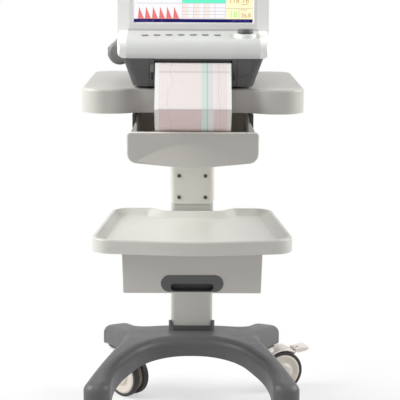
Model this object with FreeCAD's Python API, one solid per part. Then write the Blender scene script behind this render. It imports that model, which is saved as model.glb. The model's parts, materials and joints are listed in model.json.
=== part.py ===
import FreeCAD
import Part
import math
import os

# Fetal monitor on a four-caster trolley, in millimetres.
# +Z is up, the front faces -Y, and the origin is on the floor between the four casters.

V = FreeCAD.Vector

# Fits
RUNNING_FIT = 0.05
SLIDE_GAP = 0.3
WALL_GAP = 0.2
ROUND_END = 0.01

# Casters
WHEEL_DIAMETER = 100.0
WHEEL_WIDTH = 19.0
TYRE_THICKNESS = 8.0
TYRE_SHOULDER = 4.0
AXLE_DIAMETER = 10.0
CASTER_WEB = 10.0
CASTER_TRAIL = 38.0
WHEEL_SIDE_GAP = 1.0
TYRE_INNER_LIP = 1.5
TYRE_OUTER_LIP = 3.0
HUB_DISH = 4.0
HUB_FACE = 0.55
HUB_CAP = 0.4
HUB_CAP_CROWN = 1.5
HOOD_GAP = 3.0
HOOD_THICKNESS = 4.5
HOOD_LEAD_ANGLE = 150.0
HOOD_SHORT_ANGLE = 8.0
WEB_FOOT_HALF = 12.0
WEB_FOOT_DROP = 13.0
WEB_TAIL = 34.0
WEB_NOSE = 18.0
WEB_TOP_DROP = 6.0
WEB_ROUND = 9.0
NECK_DEPTH = 30.0
NECK_TAPER = 5.0
KINGPIN_DIAMETER = 12.0
KINGPIN_FLANGE_DIAMETER = 26.0
KINGPIN_FLANGE = 2.7
KINGPIN_IN_FORK = 15.0
KINGPIN_IN_BASE = 26.0
CASTER_HEADROOM = 15.0
CASTER_NECK_DIAMETER = 40.0
PEDAL_ANGLE = 52.0
PEDAL_STANDOFF = 8.0
PEDAL_LENGTH = 34.0
PEDAL_WIDTH = 42.0
PEDAL_THICKNESS = 5.0
PEDAL_PIN_DIAMETER = 6.0
PEDAL_EAR_DIAMETER = 13.0
PEDAL_LUG = 5.0
PEDAL_TIE = 22.0
PEDAL_ROUND = 4.0
PEDAL_WAIST = 8.0
FRONT_CASTER_X = 200.0
FRONT_CASTER_Y = -208.0
REAR_CASTER_X = 180.0
REAR_CASTER_Y = 205.0
CASTER_TURNS = {"front_left": 24.0, "front_right": -18.0, "rear_left": -44.0, "rear_right": 20.0}
BRAKED = ("rear_left", "rear_right")

# Base moulding
ARM_END_WIDTH = 63.0
ARM_OVERHANG = 33.0
REAR_ARM_OUTER = 44.5
ARM_SPLAY = 3.0
ARM_KNEE_ROUND = 220.0
FRONT_TIP_ROUND = 25.0
REAR_TIP_ROUND = 25.0
FRONT_ARCH_ROUND = 130.0
REAR_ARCH_ROUND = 40.0
WAIST_ROUND = 80.0
HUB_FRONT_Y = 18.0
HUB_REAR_Y = 152.0
FRONT_ARCH_HALF = 88.0
REAR_ARCH_HALF = 118.0
WAIST_HALF = 150.0
WAIST_Y = 60.0
ARM_KNEE_Y = -140.0
HUB_RISE = 82.0
ARCH_RISE = 35.0
DOME_Y = -42.0
DOME_RADIUS = 1500.0
ARCH_Y = 20.0
ARCH_RADIUS = 1364.0
BASE_EDGE = 19.0
BASE_WALL = 8.0
BASE_BOSS_DIAMETER = 40.0
BASE_RIB = 5.0
RIB_START = 76.0
HUB_BLOCK_MARGIN = 9.0
HUB_BLOCK_DEPTH = 40.0

# Column, collar and bolts
COLUMN_WIDTH = 95.0
COLUMN_DEPTH = 50.0
COLUMN_FRONT_Y = 78.0
COLUMN_WALL = 3.0
COLUMN_CORNER = 9.0
COLUMN_PORT_DIAMETER = 15.0
COLLAR_WALL = 5.0
COLLAR_FRONT_HEIGHT = 26.0
COLLAR_SIDE_HEIGHT = 39.0
COLLAR_SIDE_FALL = 17.0
COLLAR_SOCKET = 19.0
COLLAR_FLARE = 1.0
COLLAR_ROUND = 2.0
BOLT_DIAMETER = 8.0
BOLT_HEAD_DIAMETER = 13.0
BOLT_HEAD = 6.0
BOLT_REACH = 26.0

# Upper shelf and its bracket
SHELF_TOP = 779.0
SHELF_THICKNESS = 49.0
SHELF_WIDTH = 446.0
SHELF_FRONT_Y = -217.0
SHELF_REAR_Y = 185.0
SHELF_RECESS = 22.0
SHELF_WING = 77.0
SHELF_WAVE_RUN = 34.0
SHELF_WAVE = 50.0
SHELF_CORNER = 50.0
SHELF_REAR_CORNER = 40.0
SHELF_SKIN = 4.0
SHELF_EDGE = 6.0
SHELF_RIB = 3.0
SHELF_PLATE = 3.0
SHELF_PLATE_RISE = 1.0
SLEEVE_WALL = 2.0
SLEEVE_BOTTOM = 490.0
SLEEVE_DEPTH = 44.0
SLEEVE_CHAMFER = 7.0
FLANGE_THICKNESS = 4.0
FLANGE_WIDTH = 190.0
FLANGE_CORNER = 12.0
FLANGE_FRONT_Y = 20.0
FLANGE_REAR_Y = 160.0
SCREW_SPACING_X = 59.0
SCREW_LOW_Z = 504.7
SCREW_SPACING_Z = 49.0
SCREW_DIAMETER = 5.0
SCREW_HEAD_DIAMETER = 8.5
SCREW_HEAD = 2.6
SCREW_HEAD_ROUND = 1.6
SCREW_SOCKET_DIAMETER = 3.0
SCREW_SOCKET_DEPTH = 1.6

# Paper bin and rails
BIN_WIDTH = 261.0
BIN_BODY_MARGIN = 16.5
BIN_FRONT_Y = -240.0
BIN_REAR_Y = 40.0
BIN_TOP = 697.0
BIN_CORNER_Z = 636.0
BIN_BOW = 12.5
BIN_BOW_RADIUS = 300.0
BIN_TAPER = 0.5
BIN_TOP_CORNER = 8.0
BIN_FOOT_CORNER = 20.0
BIN_EDGE = 3.6
BIN_WALL = 2.5
BIN_FRONT_PANEL = 6.0
BIN_WALL_TOP = 721.0
BIN_WALL_SLOPE = 55.0
BIN_LIP_TOP = 674.0
BIN_LIP_TILT = 18.0
BIN_LIP_RADIUS = 560.0
BIN_LIP_REACH = 18.0
BIN_LIP_MARGIN = 0.4
BIN_GUSSET = 3.0
BIN_GUSSET_REACH = 7.0
BIN_SHOULDER = 2.0
BIN_TUB_ROUND = 12.0
RAIL_WEB = 2.0
RAIL_DEPTH = 5.5
RAIL_BOTTOM = 690.0
RAIL_FOOT = 12.0
RAIL_FRONT_Y = -224.0
RUNNER_Z = 706.0
RUNNER_HEIGHT = 5.0

# Lower tray and storage drawer
TRAY_RIM_Z = 475.0
TRAY_FLOOR_Z = 461.0
TRAY_SKIRT_Z = 446.0
TRAY_SKIN = 4.0
TRAY_FRONT_HALF = 208.5
TRAY_REAR_HALF = 178.0
TRAY_CORNER_Y = -215.0
TRAY_BOW_Y = -243.0
TRAY_REAR_Y = 104.0
TRAY_NOTCH_GAP = 4.0
TRAY_CORNER = 40.0
TRAY_WAVE = 30.0
TRAY_BOW_RADIUS = 700.0
TRAY_LOBE_X = 88.0
TRAY_NOTCH_X = 66.0
TRAY_RIM_TOP_WIDTH = 8.0
TRAY_RIM_FOOT_WIDTH = 24.0
TRAY_DISH_ROUND = 8.0
DRAWER_WIDTH = 287.0
DRAWER_TAPER = 2.0
DRAWER_TOP = 442.0
DRAWER_BOTTOM = 357.5
DRAWER_FRONT_Y = -197.0
DRAWER_FRONT_PANEL = 9.0
DRAWER_WALL = 2.0
DRAWER_WALL_DROP = 6.0
DRAWER_TOP_CORNER = 2.5
DRAWER_FOOT_CORNER = 2.5
DRAWER_EDGE = 1.5
DRAWER_REAR_GAP = 14.0
DRAWER_FLOOR_GAP = 3.0
CASE_SHEET = 1.5
CASE_INSET = 3.0
CASE_BOTTOM_INSET = 1.0
CASE_FLANGE = 14.0
RUNWAY_Z = 398.0
RUNWAY_HEIGHT = 10.0
RUNWAY_DEPTH = 4.0
RUNWAY_INSET = 6.0
RUNNER_THICKNESS = 3.0
HANDLE_WIDTH = 128.0
HANDLE_HEIGHT = 35.0
HANDLE_Z = 378.0
HANDLE_PROUD = 2.0
HANDLE_EDGE = 1.6
GRIP_WIDTH = 88.0
GRIP_HEIGHT = 16.0
GRIP_Z = 370.5
GRIP_DEPTH = 22.0
GRIP_WALL = 2.0

# Monitor housings
FOOT_HEIGHT = 4.0
FOOT_DIAMETER = 18.0
FOOT_INSET = 30.0
LOWER_HEIGHT = 55.0
LOWER_BOTTOM_WIDTH = 239.0
LOWER_TOP_WIDTH = 279.0
MONITOR_FRONT_Y = -198.0
MONITOR_REAR_Y = 150.0
LOWER_CORNER = 14.0
HOUSING_WALL = 3.0
UPPER_CORNER = 22.0
NOSE_Y = -205.0
NOSE_RISE = 33.0
NOSE_RADIUS = 17.0
NOSE_PLAN_LEAD = 5.0
RIDGE_Y = -122.0
RIDGE_RISE = 50.0
DECK_RISE = 28.0
DECK_FRONT_GAP = 10.0
RIDGE_ROUND = 3.0
UPPER_FOOT_ROUND = 13.0
DECK_ROUND = 4.0
TEAR_BAR_WIDTH = 154.0
TEAR_BAR = 3.5
GROOVE_WIDTH = 1.4
GROOVE_DEPTH = 0.9
GROOVE_X = 119.0
GROOVE_CORNER = 25.0
GROOVE_DROP = 37.0
GUIDE_HEIGHT = 18.0
VENT_COUNT = 9
VENT_FIRST_X = -85.0
VENT_PITCH = 12.0
VENT_WIDTH = 5.0
VENT_MARGIN = 16.0

# Keys and knob
KEY_COUNT = 7
KEY_FIRST_X = -96.7
KEY_PITCH = 24.2
KEY_Y = -154.0
KEY_ARC = 5.5
KEY_LENGTH = 14.0
KEY_WIDTH = 7.0
KEY_PROUD = 1.2
KEY_STEM = 5.0
KEY_FLANGE = 1.0
KEY_FLANGE_REACH = 1.5
KEY_TRAVEL = 0.8
KEY_EDGE = 0.7
KEY_BOARD_WIDTH = 28.0
KEY_POST = 4.0
KEY_POST_GAP = 0.9
BOARD_THICKNESS = 1.6
KNOB_X = 104.0
KNOB_Y = -160.0
KNOB_DIAMETER = 32.0
KNOB_HEIGHT = 8.5
KNOB_FLUTES = 22
KNOB_FLUTE_DIAMETER = 2.4
KNOB_BOSS_DIAMETER = 44.0
KNOB_BOSS_RISE = 46.5
KNOB_BOSS_ROUND = 2.0
KNOB_TAPER = 1.0
KNOB_CROWN = 2.0
KNOB_DISH = 0.6
KNOB_FLUTE_CIRCLE = 33.0
KNOB_TRAVEL = 1.0
SPINDLE_DIAMETER = 6.0
SPINDLE_LENGTH = 16.0

# Display
HINGE_Y = -95.0
HINGE_RISE = 42.5
LID_THICKNESS = 28.0
LID_LENGTH = 238.0
LID_TOP_BACK = 8.0
LID_TILT = 85.0
LID_CORNER = 16.0
LID_BARREL_FLAT = 0.5
LID_BACK_ROUND = 7.0
LID_FRONT_ROUND = 4.0
BEZEL_DEPTH = 10.0
BEZEL_START = 9.3
BEZEL_LIP = 3.0
SCREEN_WIDTH = 242.0
SCREEN_HEIGHT = 181.5
SCREEN_START = 22.7
SCREEN_BORDER = 8.0
DISPLAY_MARGIN = 29.0
LID_OVERHANG = 4.0
SCREEN_THICKNESS = 8.0
WINDOW_FLARE = 3.0
WINDOW_CORNER = 2.0
SCREEN_POST_DIAMETER = 10.0
SCREEN_POST_INSET = 20.0
LID_WALL = 2.5
KNUCKLE_X = 110.0
KNUCKLE_WIDTH = 30.0
KNUCKLE_RADIUS = 8.5
HINGE_PIN_DIAMETER = 6.0
HINGE_PIN_REACH = 12.0

# Recorder
RECORDER_HALF = 87.0
RECORDER_DEPTH = 126.0
RECORDER_TOP_DROP = 10.0
RECORDER_WALL = 2.5
RECORDER_EDGE = 1.0
PAPER_WIDTH = 150.0
PLATEN_DIAMETER = 14.0
PLATEN_JOURNAL_DIAMETER = 6.0
PLATEN_Y = -185.0
PLATEN_DROP = 16.3
HEAD_DEPTH = 16.0
HEAD_HEIGHT = 8.0
HEAD_FINS = 12
HEAD_FIN = 2.0
HEAD_FIN_RISE = 6.0
HEAD_HANGER = 7.0
HEAD_HANGER_GAP = 0.9
CHART_PACK_LENGTH = 92.0
CHART_PACK_HEIGHT = 18.0
CHART_PACK_GAP = 6.0
STRIP_BEND = 4.0
SHEET_THICKNESS = 0.4
STRIP_BEND_Y = -200.0
STRIP_CREASE_Y = -266.0
STRIP_CREASE_Z = 745.0
STRIP_END_Y = -198.0
STACK_HEIGHT = 14.0
STACK_AHEAD = 25.0
RELEASE_X = -81.0
RELEASE_WIDTH = 7.0
RELEASE_HEIGHT = 15.0
RELEASE_DROP = 20.0
RELEASE_PROUD = 1.0
RELEASE_EDGE = 0.8
RELEASE_DEPTH = 7.0
RELEASE_TRAVEL = 1.5
LATCH_SLOT_WIDTH = 3.0
LATCH_SLOT_HEIGHT = 15.0
LATCH_SLOT_DROP = 35.0

# Side pod, sockets and boards
POD_RADIUS = 24.0
POD_FRONT_Y = -120.0
POD_REAR_Y = 60.0
POD_RISE = 3.9
POD_ROUND = 7.0
SOCKET_COUNT = 4
SOCKET_PITCH = 38.0
SOCKET_DIAMETER = 20.0
SOCKET_PROUD = 1.5
SOCKET_DEPTH = 20.0
SOCKET_RECESS = 12.0
SOCKET_LIP = 1.0
SOCKET_BORE_DIAMETER = 15.0
BOARD_WIDTH = 200.0
BOARD_FRONT_Y = -50.0
BOARD_REAR_Y = 70.0
# Corner x and y, width, depth and height of each part on the main board
BOARD_CHIPS = ((-74.0, -14.0, 28.0, 28.0, 3.0), (0.0, -25.0, 20.0, 20.0, 2.0), (33.0, 16.0, 34.0, 18.0, 4.0),
               (-88.0, 39.0, 40.0, 12.0, 9.0), (64.0, -45.0, 12.0, 30.0, 8.0))
STANDOFF_HEIGHT = 8.0
STANDOFF_DIAMETER = 8.0
STANDOFF_INSET = 10.0
POWER_WIDTH = 110.0
POWER_DEPTH = 55.0
POWER_HEIGHT = 36.0
POWER_EDGE = 3.0
INLET_X = 70.0
INLET_WIDTH = 48.0
INLET_HEIGHT = 27.0
INLET_DEPTH = 22.0
INLET_PROUD = 1.0
INLET_SIDE = 9.0
INLET_RIM = 4.0
INLET_CHAMFER = 5.0
INLET_FLOOR = 5.0
INLET_PIN_PITCH = 7.0
INLET_PIN_STAGGER = 2.0
INLET_PIN_WIDTH = 2.0
INLET_PIN_HEIGHT = 4.0

# Values worked out from the sizes above
BASE_FOOT = WHEEL_DIAMETER + CASTER_HEADROOM
HUB_TOP = BASE_FOOT + HUB_RISE
ARCH_TOP = BASE_FOOT + ARCH_RISE
HUB_BLOCK_BOTTOM = HUB_TOP - HUB_BLOCK_DEPTH
COLUMN_FOOT = HUB_TOP - COLLAR_SOCKET
COLUMN_REAR_Y = COLUMN_FRONT_Y + COLUMN_DEPTH
COLUMN_Y = COLUMN_FRONT_Y + COLUMN_DEPTH / 2
SHELF_BOTTOM = SHELF_TOP - SHELF_THICKNESS
SHELF_WING_START = SHELF_WIDTH / 2 - SHELF_WING
SHELF_RECESS_HALF = SHELF_WING_START - SHELF_WAVE_RUN
PLATE_BOTTOM = SHELF_BOTTOM + SHELF_PLATE_RISE
PLATE_TOP = PLATE_BOTTOM + SHELF_PLATE
SLEEVE_FRONT_Y = COLUMN_FRONT_Y - WALL_GAP - SLEEVE_WALL
BIN_BODY_HALF = BIN_WIDTH / 2 - BIN_BODY_MARGIN
UPPER_WIDTH = SCREEN_WIDTH + 2 * DISPLAY_MARGIN
LID_WIDTH = UPPER_WIDTH + 2 * LID_OVERHANG
LOWER_BOTTOM = SHELF_TOP + FOOT_HEIGHT
PARTING = LOWER_BOTTOM + LOWER_HEIGHT
LOWER_FLOOR = LOWER_BOTTOM + HOUSING_WALL
DECK = PARTING + DECK_RISE
HINGE_Z = PARTING + HINGE_RISE
PANEL_SLOPE = math.atan2(RIDGE_RISE - NOSE_RISE, RIDGE_Y - NOSE_Y)
KNOB_BOSS_TOP = PARTING + KNOB_BOSS_RISE
GUIDE_FRONT_Y = MONITOR_FRONT_Y + 2 * HOUSING_WALL
INLET_Z = (LOWER_BOTTOM + PARTING) / 2
RECORDER_FLOOR = LOWER_FLOOR + SLIDE_GAP
RECORDER_TOP = PARTING - RECORDER_TOP_DROP
PLATEN_Z = PARTING - PLATEN_DROP


def block(x0, x1, y0, y1, z0, z1):
    return Part.makeBox(x1 - x0, y1 - y0, z1 - z0, V(x0, y0, z0))


def rod(diameter, start, end):
    """Cylinder between two points."""
    run = end - start
    return Part.makeCylinder(diameter / 2, run.Length, start, run)


def rounded_outline(corners):
    """Closed wire in the XY plane through corners (x, y, radius), each rounded by an arc."""
    points = [V(x, y, 0) for x, y, _ in corners]
    arcs = []
    for i, here in enumerate(points):
        into = (here - points[i - 1]).normalize()
        out = (points[(i + 1) % len(points)] - here).normalize()
        turn = into.getAngle(out)
        radius = corners[i][2]
        setback = radius * math.tan(turn / 2)
        start = here - into * setback
        end = here + out * setback
        inward = V(0, 0, 0)
        if radius > 0:
            inward = (out - into).normalize()
        middle = here + inward * (radius / math.cos(turn / 2) - radius)
        arcs.append((start, middle, end, radius))
    edges = []
    for i, (start, middle, end, radius) in enumerate(arcs):
        if radius > 0:
            edges.append(Part.Arc(start, middle, end).toShape())
        following = arcs[(i + 1) % len(arcs)][0]
        if (following - end).Length > 1e-6:
            edges.append(Part.LineSegment(end, following).toShape())
    return Part.Wire(edges)


def rectangle(x0, x1, y0, y1, radius):
    return rounded_outline([(x0, y0, radius), (x1, y0, radius), (x1, y1, radius), (x0, y1, radius)])


def mirrored(half):
    """Whole outline from its right half, listed front to back."""
    return half + [(-x, y, radius) for x, y, radius in reversed(half)]


def prism(wire, z0, z1):
    solid = Part.Face(wire).extrude(V(0, 0, z1 - z0))
    solid.translate(V(0, 0, z0))
    return solid


def side_prism(corners, x0, x1):
    """Profile of (y, z, radius) corners, drawn across X from x0 to x1."""
    solid = Part.Face(rounded_outline(corners)).extrude(V(0, 0, x1 - x0))
    solid.rotate(V(0, 0, 0), V(1, 1, 1), 120)
    solid.translate(V(x0, 0, 0))
    return solid


def front_prism(corners, y0, y1):
    """Profile of (x, z, radius) corners, drawn back along Y from y0 to y1."""
    solid = Part.Face(rounded_outline(corners)).extrude(V(0, 0, y0 - y1))
    solid.rotate(V(0, 0, 0), V(1, 0, 0), 90)
    solid.translate(V(0, y0, 0))
    return solid


def turned(corners, centre, axis):
    """Solid turned from a profile of (radius, height, corner radius) about an axis through centre."""
    face = Part.Face(rounded_outline(corners))
    face.rotate(V(0, 0, 0), V(1, 0, 0), 90)
    solid = face.revolve(V(0, 0, 0), V(0, 0, 1), 360)
    turn = FreeCAD.Rotation(V(0, 0, 1), axis)
    solid.Placement = FreeCAD.Placement(centre, turn)
    return solid


def inset(wire, distance):
    return wire.makeOffset2D(-distance)


def at_height(wire, z):
    raised = wire.copy()
    raised.translate(V(0, 0, z))
    return raised


def loft(lower, upper):
    return Part.makeLoft([lower, upper], True, True)


def both_sides(shape):
    """A shape and its mirror image across the YZ plane."""
    return [shape, shape.mirror(V(0, 0, 0), V(1, 0, 0))]


def fuse(shapes):
    return shapes[0].multiFuse(shapes[1:]).removeSplitter()


def front_edges_of(shape, y):
    """Edges that lie in the front plane of a shape."""
    return [e for e in shape.Edges if e.BoundBox.YMax < y + ROUND_END]


def edges_between(shape, z0, z1):
    return [e for e in shape.Edges if e.BoundBox.ZMin > z0 and e.BoundBox.ZMax < z1]


def caster_places():
    return {
        "front_left": (-FRONT_CASTER_X, FRONT_CASTER_Y),
        "front_right": (FRONT_CASTER_X, FRONT_CASTER_Y),
        "rear_left": (-REAR_CASTER_X, REAR_CASTER_Y),
        "rear_right": (REAR_CASTER_X, REAR_CASTER_Y),
    }


# Base: one moulding with four arms, a shallow domed top and an arched, ribbed underside
def base_outline():
    front_end = FRONT_CASTER_Y - ARM_OVERHANG
    rear_end = REAR_CASTER_Y + ARM_OVERHANG
    half_arm = ARM_END_WIDTH / 2
    return rounded_outline(mirrored([
        (FRONT_ARCH_HALF, HUB_FRONT_Y, FRONT_ARCH_ROUND),
        (FRONT_CASTER_X - half_arm - ARM_SPLAY, ARM_KNEE_Y, ARM_KNEE_ROUND),
        (FRONT_CASTER_X - half_arm, front_end, FRONT_TIP_ROUND),
        (FRONT_CASTER_X + half_arm, front_end, FRONT_TIP_ROUND),
        (WAIST_HALF, WAIST_Y, WAIST_ROUND),
        (REAR_CASTER_X + REAR_ARM_OUTER, rear_end, REAR_TIP_ROUND),
        (REAR_CASTER_X - half_arm, rear_end, REAR_TIP_ROUND),
        (REAR_ARCH_HALF, HUB_REAR_Y, REAR_ARCH_ROUND),
    ]))


def dome(apex, radius, y):
    return Part.makeSphere(radius, V(0, y, apex - radius))


def base_moulding():
    outline = base_outline()
    low = BASE_FOOT - BASE_EDGE
    high = HUB_TOP + BASE_EDGE
    outer = prism(outline, low, high).common(dome(HUB_TOP, DOME_RADIUS, DOME_Y))
    outer = outer.cut(dome(ARCH_TOP, ARCH_RADIUS, ARCH_Y))
    top_face = max(outer.Faces, key=lambda face: face.CenterOfMass.z)
    outer = outer.makeFillet(BASE_EDGE, top_face.OuterWire.Edges)
    hollow = prism(inset(outline, BASE_WALL), low, high)
    hollow = hollow.common(dome(HUB_TOP - BASE_WALL, DOME_RADIUS, DOME_Y))
    margin = COLLAR_WALL + HUB_BLOCK_MARGIN
    hub_half = COLUMN_WIDTH / 2 + margin
    hub = block(-hub_half, hub_half, COLUMN_FRONT_Y - margin, COLUMN_REAR_Y + margin, HUB_BLOCK_BOTTOM, high)
    keep = [hub]
    for x, y in caster_places().values():
        keep.append(rod(BASE_BOSS_DIAMETER, V(x, y, BASE_FOOT), V(x, y, HUB_TOP)))
        arm = V(x, y - COLUMN_Y, 0)
        rib = block(RIB_START, arm.Length, -BASE_RIB / 2, BASE_RIB / 2, ARCH_TOP - BASE_RIB, HUB_TOP)
        rib.rotate(V(0, 0, 0), V(0, 0, 1), math.degrees(math.atan2(arm.y, arm.x)))
        rib.translate(V(0, COLUMN_Y, 0))
        keep.append(rib)
    hollow = hollow.cut(fuse(keep))
    moulding = outer.cut(hollow)
    for x, y in caster_places().values():
        moulding = moulding.fuse(rod(BASE_BOSS_DIAMETER, V(x, y, BASE_FOOT), V(x, y, ARCH_TOP)))
    moulding = moulding.cut(collar_space(WALL_GAP))
    for x, y in caster_places().values():
        pin = rod(KINGPIN_DIAMETER, V(x, y, BASE_FOOT), V(x, y, BASE_FOOT + KINGPIN_IN_BASE))
        moulding = moulding.cut(pin)
    for x, y in bolt_places():
        hole = rod(BOLT_DIAMETER + 2 * WALL_GAP, V(x, y, HUB_BLOCK_BOTTOM), V(x, y, COLUMN_FOOT))
        moulding = moulding.cut(hole)
    return moulding.removeSplitter()


def column_outline(grow):
    half = COLUMN_WIDTH / 2 + grow
    return rectangle(-half, half, COLUMN_FRONT_Y - grow, COLUMN_REAR_Y + grow, COLUMN_CORNER + grow)


def collar_space(gap):
    return prism(column_outline(WALL_GAP + COLLAR_WALL + gap), COLUMN_FOOT, HUB_TOP + BASE_EDGE)


def bolt_places():
    reach_x = COLUMN_WIDTH / 2 - COLUMN_PORT_DIAMETER / 2 - COLUMN_WALL / 2
    reach_y = COLUMN_DEPTH / 2 - COLUMN_PORT_DIAMETER / 2 - COLUMN_WALL / 2
    return [(sx * reach_x, COLUMN_Y + sy * reach_y) for sx in (-1, 1) for sy in (-1, 1)]


def column():
    top = PLATE_BOTTOM - FLANGE_THICKNESS
    tube = prism(column_outline(0), COLUMN_FOOT, top)
    tube = tube.cut(prism(column_outline(-COLUMN_WALL), COLUMN_FOOT, top))
    ports = [rod(COLUMN_PORT_DIAMETER, V(x, y, COLUMN_FOOT), V(x, y, top)) for x, y in bolt_places()]
    profile = fuse([tube] + [port.common(prism(column_outline(0), COLUMN_FOOT, top)) for port in ports])
    for x, y in bolt_places():
        profile = profile.cut(rod(BOLT_DIAMETER, V(x, y, COLUMN_FOOT), V(x, y, top)))
    return profile


def column_collar():
    outer = column_outline(WALL_GAP + COLLAR_WALL)
    collar = prism(outer, COLUMN_FOOT, COLUMN_FOOT + COLLAR_SIDE_HEIGHT)
    collar = collar.cut(prism(column_outline(WALL_GAP), COLUMN_FOOT, COLUMN_FOOT + COLLAR_SIDE_HEIGHT))
    half = COLUMN_WIDTH / 2 - COLLAR_FLARE
    low = COLUMN_FOOT + COLLAR_FRONT_HEIGHT
    flare = half + COLLAR_FLARE
    top = low + COLLAR_SIDE_HEIGHT
    corners = [(-half, low, COLLAR_ROUND), (half, low, COLLAR_ROUND), (flare, top, 0), (-flare, top, 0)]
    dip = front_prism(corners, HUB_FRONT_Y, COLUMN_REAR_Y + COLUMN_DEPTH)
    high = COLUMN_FOOT + COLLAR_SIDE_HEIGHT
    wedge = side_prism([(COLUMN_FRONT_Y, high, 0), (COLUMN_REAR_Y, high - COLLAR_SIDE_FALL, 0),
                        (COLUMN_REAR_Y + COLUMN_DEPTH, high - COLLAR_SIDE_FALL, 0),
                        (COLUMN_REAR_Y + COLUMN_DEPTH, top, 0), (COLUMN_FRONT_Y, top, 0)],
                       -COLUMN_WIDTH, COLUMN_WIDTH)
    return collar.cut(dip).cut(wedge)


def column_bolts():
    bolts = []
    for x, y in bolt_places():
        head = rod(BOLT_HEAD_DIAMETER, V(x, y, HUB_BLOCK_BOTTOM - BOLT_HEAD), V(x, y, HUB_BLOCK_BOTTOM))
        shank_end = V(x, y, COLUMN_FOOT + BOLT_REACH)
        shank = rod(BOLT_DIAMETER - 2 * RUNNING_FIT, V(x, y, HUB_BLOCK_BOTTOM), shank_end)
        bolts.append(head.fuse(shank))
    return Part.makeCompound(bolts)


# Casters, each modelled round its kingpin with the wheels trailing along +X
def fork_top():
    return BASE_FOOT - KINGPIN_FLANGE - SLIDE_GAP


def wheel_centre():
    return V(CASTER_TRAIL, 0, WHEEL_DIAMETER / 2)


def pedal_pivot():
    reach = WHEEL_DIAMETER / 2 + HOOD_GAP + PEDAL_STANDOFF
    angle = math.radians(PEDAL_ANGLE)
    return wheel_centre() + V(reach * math.cos(angle), 0, reach * math.sin(angle))


def axial(diameter, centre, half_width):
    return rod(diameter, centre - V(0, half_width, 0), centre + V(0, half_width, 0))


def caster_fork(braked):
    centre = wheel_centre()
    wheel_radius = WHEEL_DIAMETER / 2
    half_web = CASTER_WEB / 2
    half_hood = half_web + WHEEL_SIDE_GAP + WHEEL_WIDTH
    inner = wheel_radius + HOOD_GAP
    outer = inner + HOOD_THICKNESS
    end_angle = PEDAL_ANGLE + HOOD_SHORT_ANGLE
    sweep = HOOD_LEAD_ANGLE - end_angle
    section = Part.Face(rectangle(inner, outer, -half_hood, half_hood, HOOD_THICKNESS / 2 - 0.1))
    hood = section.revolve(V(0, 0, 0), V(0, 1, 0), -sweep)
    hood.rotate(V(0, 0, 0), V(0, 1, 0), -end_angle)
    hood.translate(centre)
    top = fork_top()
    web_top = top - WEB_TOP_DROP
    foot = centre.z - WEB_FOOT_DROP
    web_outline = [
        (centre.x + WEB_FOOT_HALF, foot, WEB_ROUND), (centre.x + WEB_TAIL, web_top - WEB_ROUND, WEB_ROUND),
        (centre.x + WEB_NOSE, web_top, WEB_ROUND), (-WEB_NOSE, web_top, 0),
        (-WEB_NOSE, web_top - WEB_NOSE, WEB_ROUND), (centre.x - WEB_FOOT_HALF, foot, WEB_ROUND)]
    web = front_prism(web_outline, -half_web, half_web)
    neck_radius = CASTER_NECK_DIAMETER / 2
    neck_foot = top - NECK_DEPTH
    neck_end = neck_radius - NECK_TAPER
    neck_waist = top - NECK_DEPTH / 3
    neck_profile = [(0, neck_foot, 0), (neck_end, neck_foot, 0), (neck_radius, neck_waist, NECK_TAPER),
                    (neck_end, top, NECK_TAPER / 2), (0, top, 0)]
    neck = turned(neck_profile, V(0, 0, 0), V(0, 0, 1))
    pieces = [web, neck, hood]
    if braked:
        pivot = pedal_pivot()
        pieces.append(axial(PEDAL_EAR_DIAMETER, pivot, half_web))
        reach = (centre - pivot).normalize()
        corner = V(-PEDAL_EAR_DIAMETER / 2, -half_web, 0)
        tie = Part.makeBox(PEDAL_EAR_DIAMETER, CASTER_WEB, PEDAL_TIE, corner)
        tie.Placement = FreeCAD.Placement(pivot, FreeCAD.Rotation(V(0, 0, 1), reach)).multiply(tie.Placement)
        pieces.append(tie)
    fork = fuse(pieces)
    for side in (-1, 1):
        middle = centre + V(0, side * (half_web + WHEEL_WIDTH), 0)
        fork = fork.cut(axial(2 * inner, middle, WHEEL_WIDTH))
    fork = fork.cut(axial(AXLE_DIAMETER + 2 * RUNNING_FIT, centre, half_hood))
    fork = fork.cut(rod(KINGPIN_DIAMETER + 2 * RUNNING_FIT, V(0, 0, top - KINGPIN_IN_FORK), V(0, 0, top)))
    if braked:
        fork = fork.cut(axial(PEDAL_PIN_DIAMETER + 2 * RUNNING_FIT, pedal_pivot(), half_web))
    return fork


def caster_hub():
    radius = WHEEL_DIAMETER / 2 - TYRE_THICKNESS
    near = CASTER_WEB / 2 + WHEEL_SIDE_GAP
    far = near + WHEEL_WIDTH
    axle = AXLE_DIAMETER / 2 - 1
    inner_rim = near + TYRE_INNER_LIP
    outer_rim = far - TYRE_OUTER_LIP
    dish_floor = inner_rim + HUB_DISH
    inside = [(axle, near, 0), (AXLE_DIAMETER, near, 1), (AXLE_DIAMETER + HUB_DISH, dish_floor, HUB_DISH / 2),
              (radius - 2 * HUB_DISH, dish_floor, HUB_DISH / 2), (radius - HUB_DISH, inner_rim, 1),
              (radius, inner_rim, 0)]
    outside = [(radius, outer_rim, 0), (radius - HUB_DISH, far - 1, HUB_DISH / 2),
               (radius * HUB_FACE, far - HUB_DISH, 2 * HUB_DISH), (radius * HUB_CAP, far + 1, HUB_DISH),
               (axle, far + HUB_CAP_CROWN, 0)]
    discs = [turned(inside + outside, wheel_centre(), V(0, side, 0)) for side in (-1, 1)]
    return fuse([axial(AXLE_DIAMETER, wheel_centre(), far)] + discs)


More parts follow.
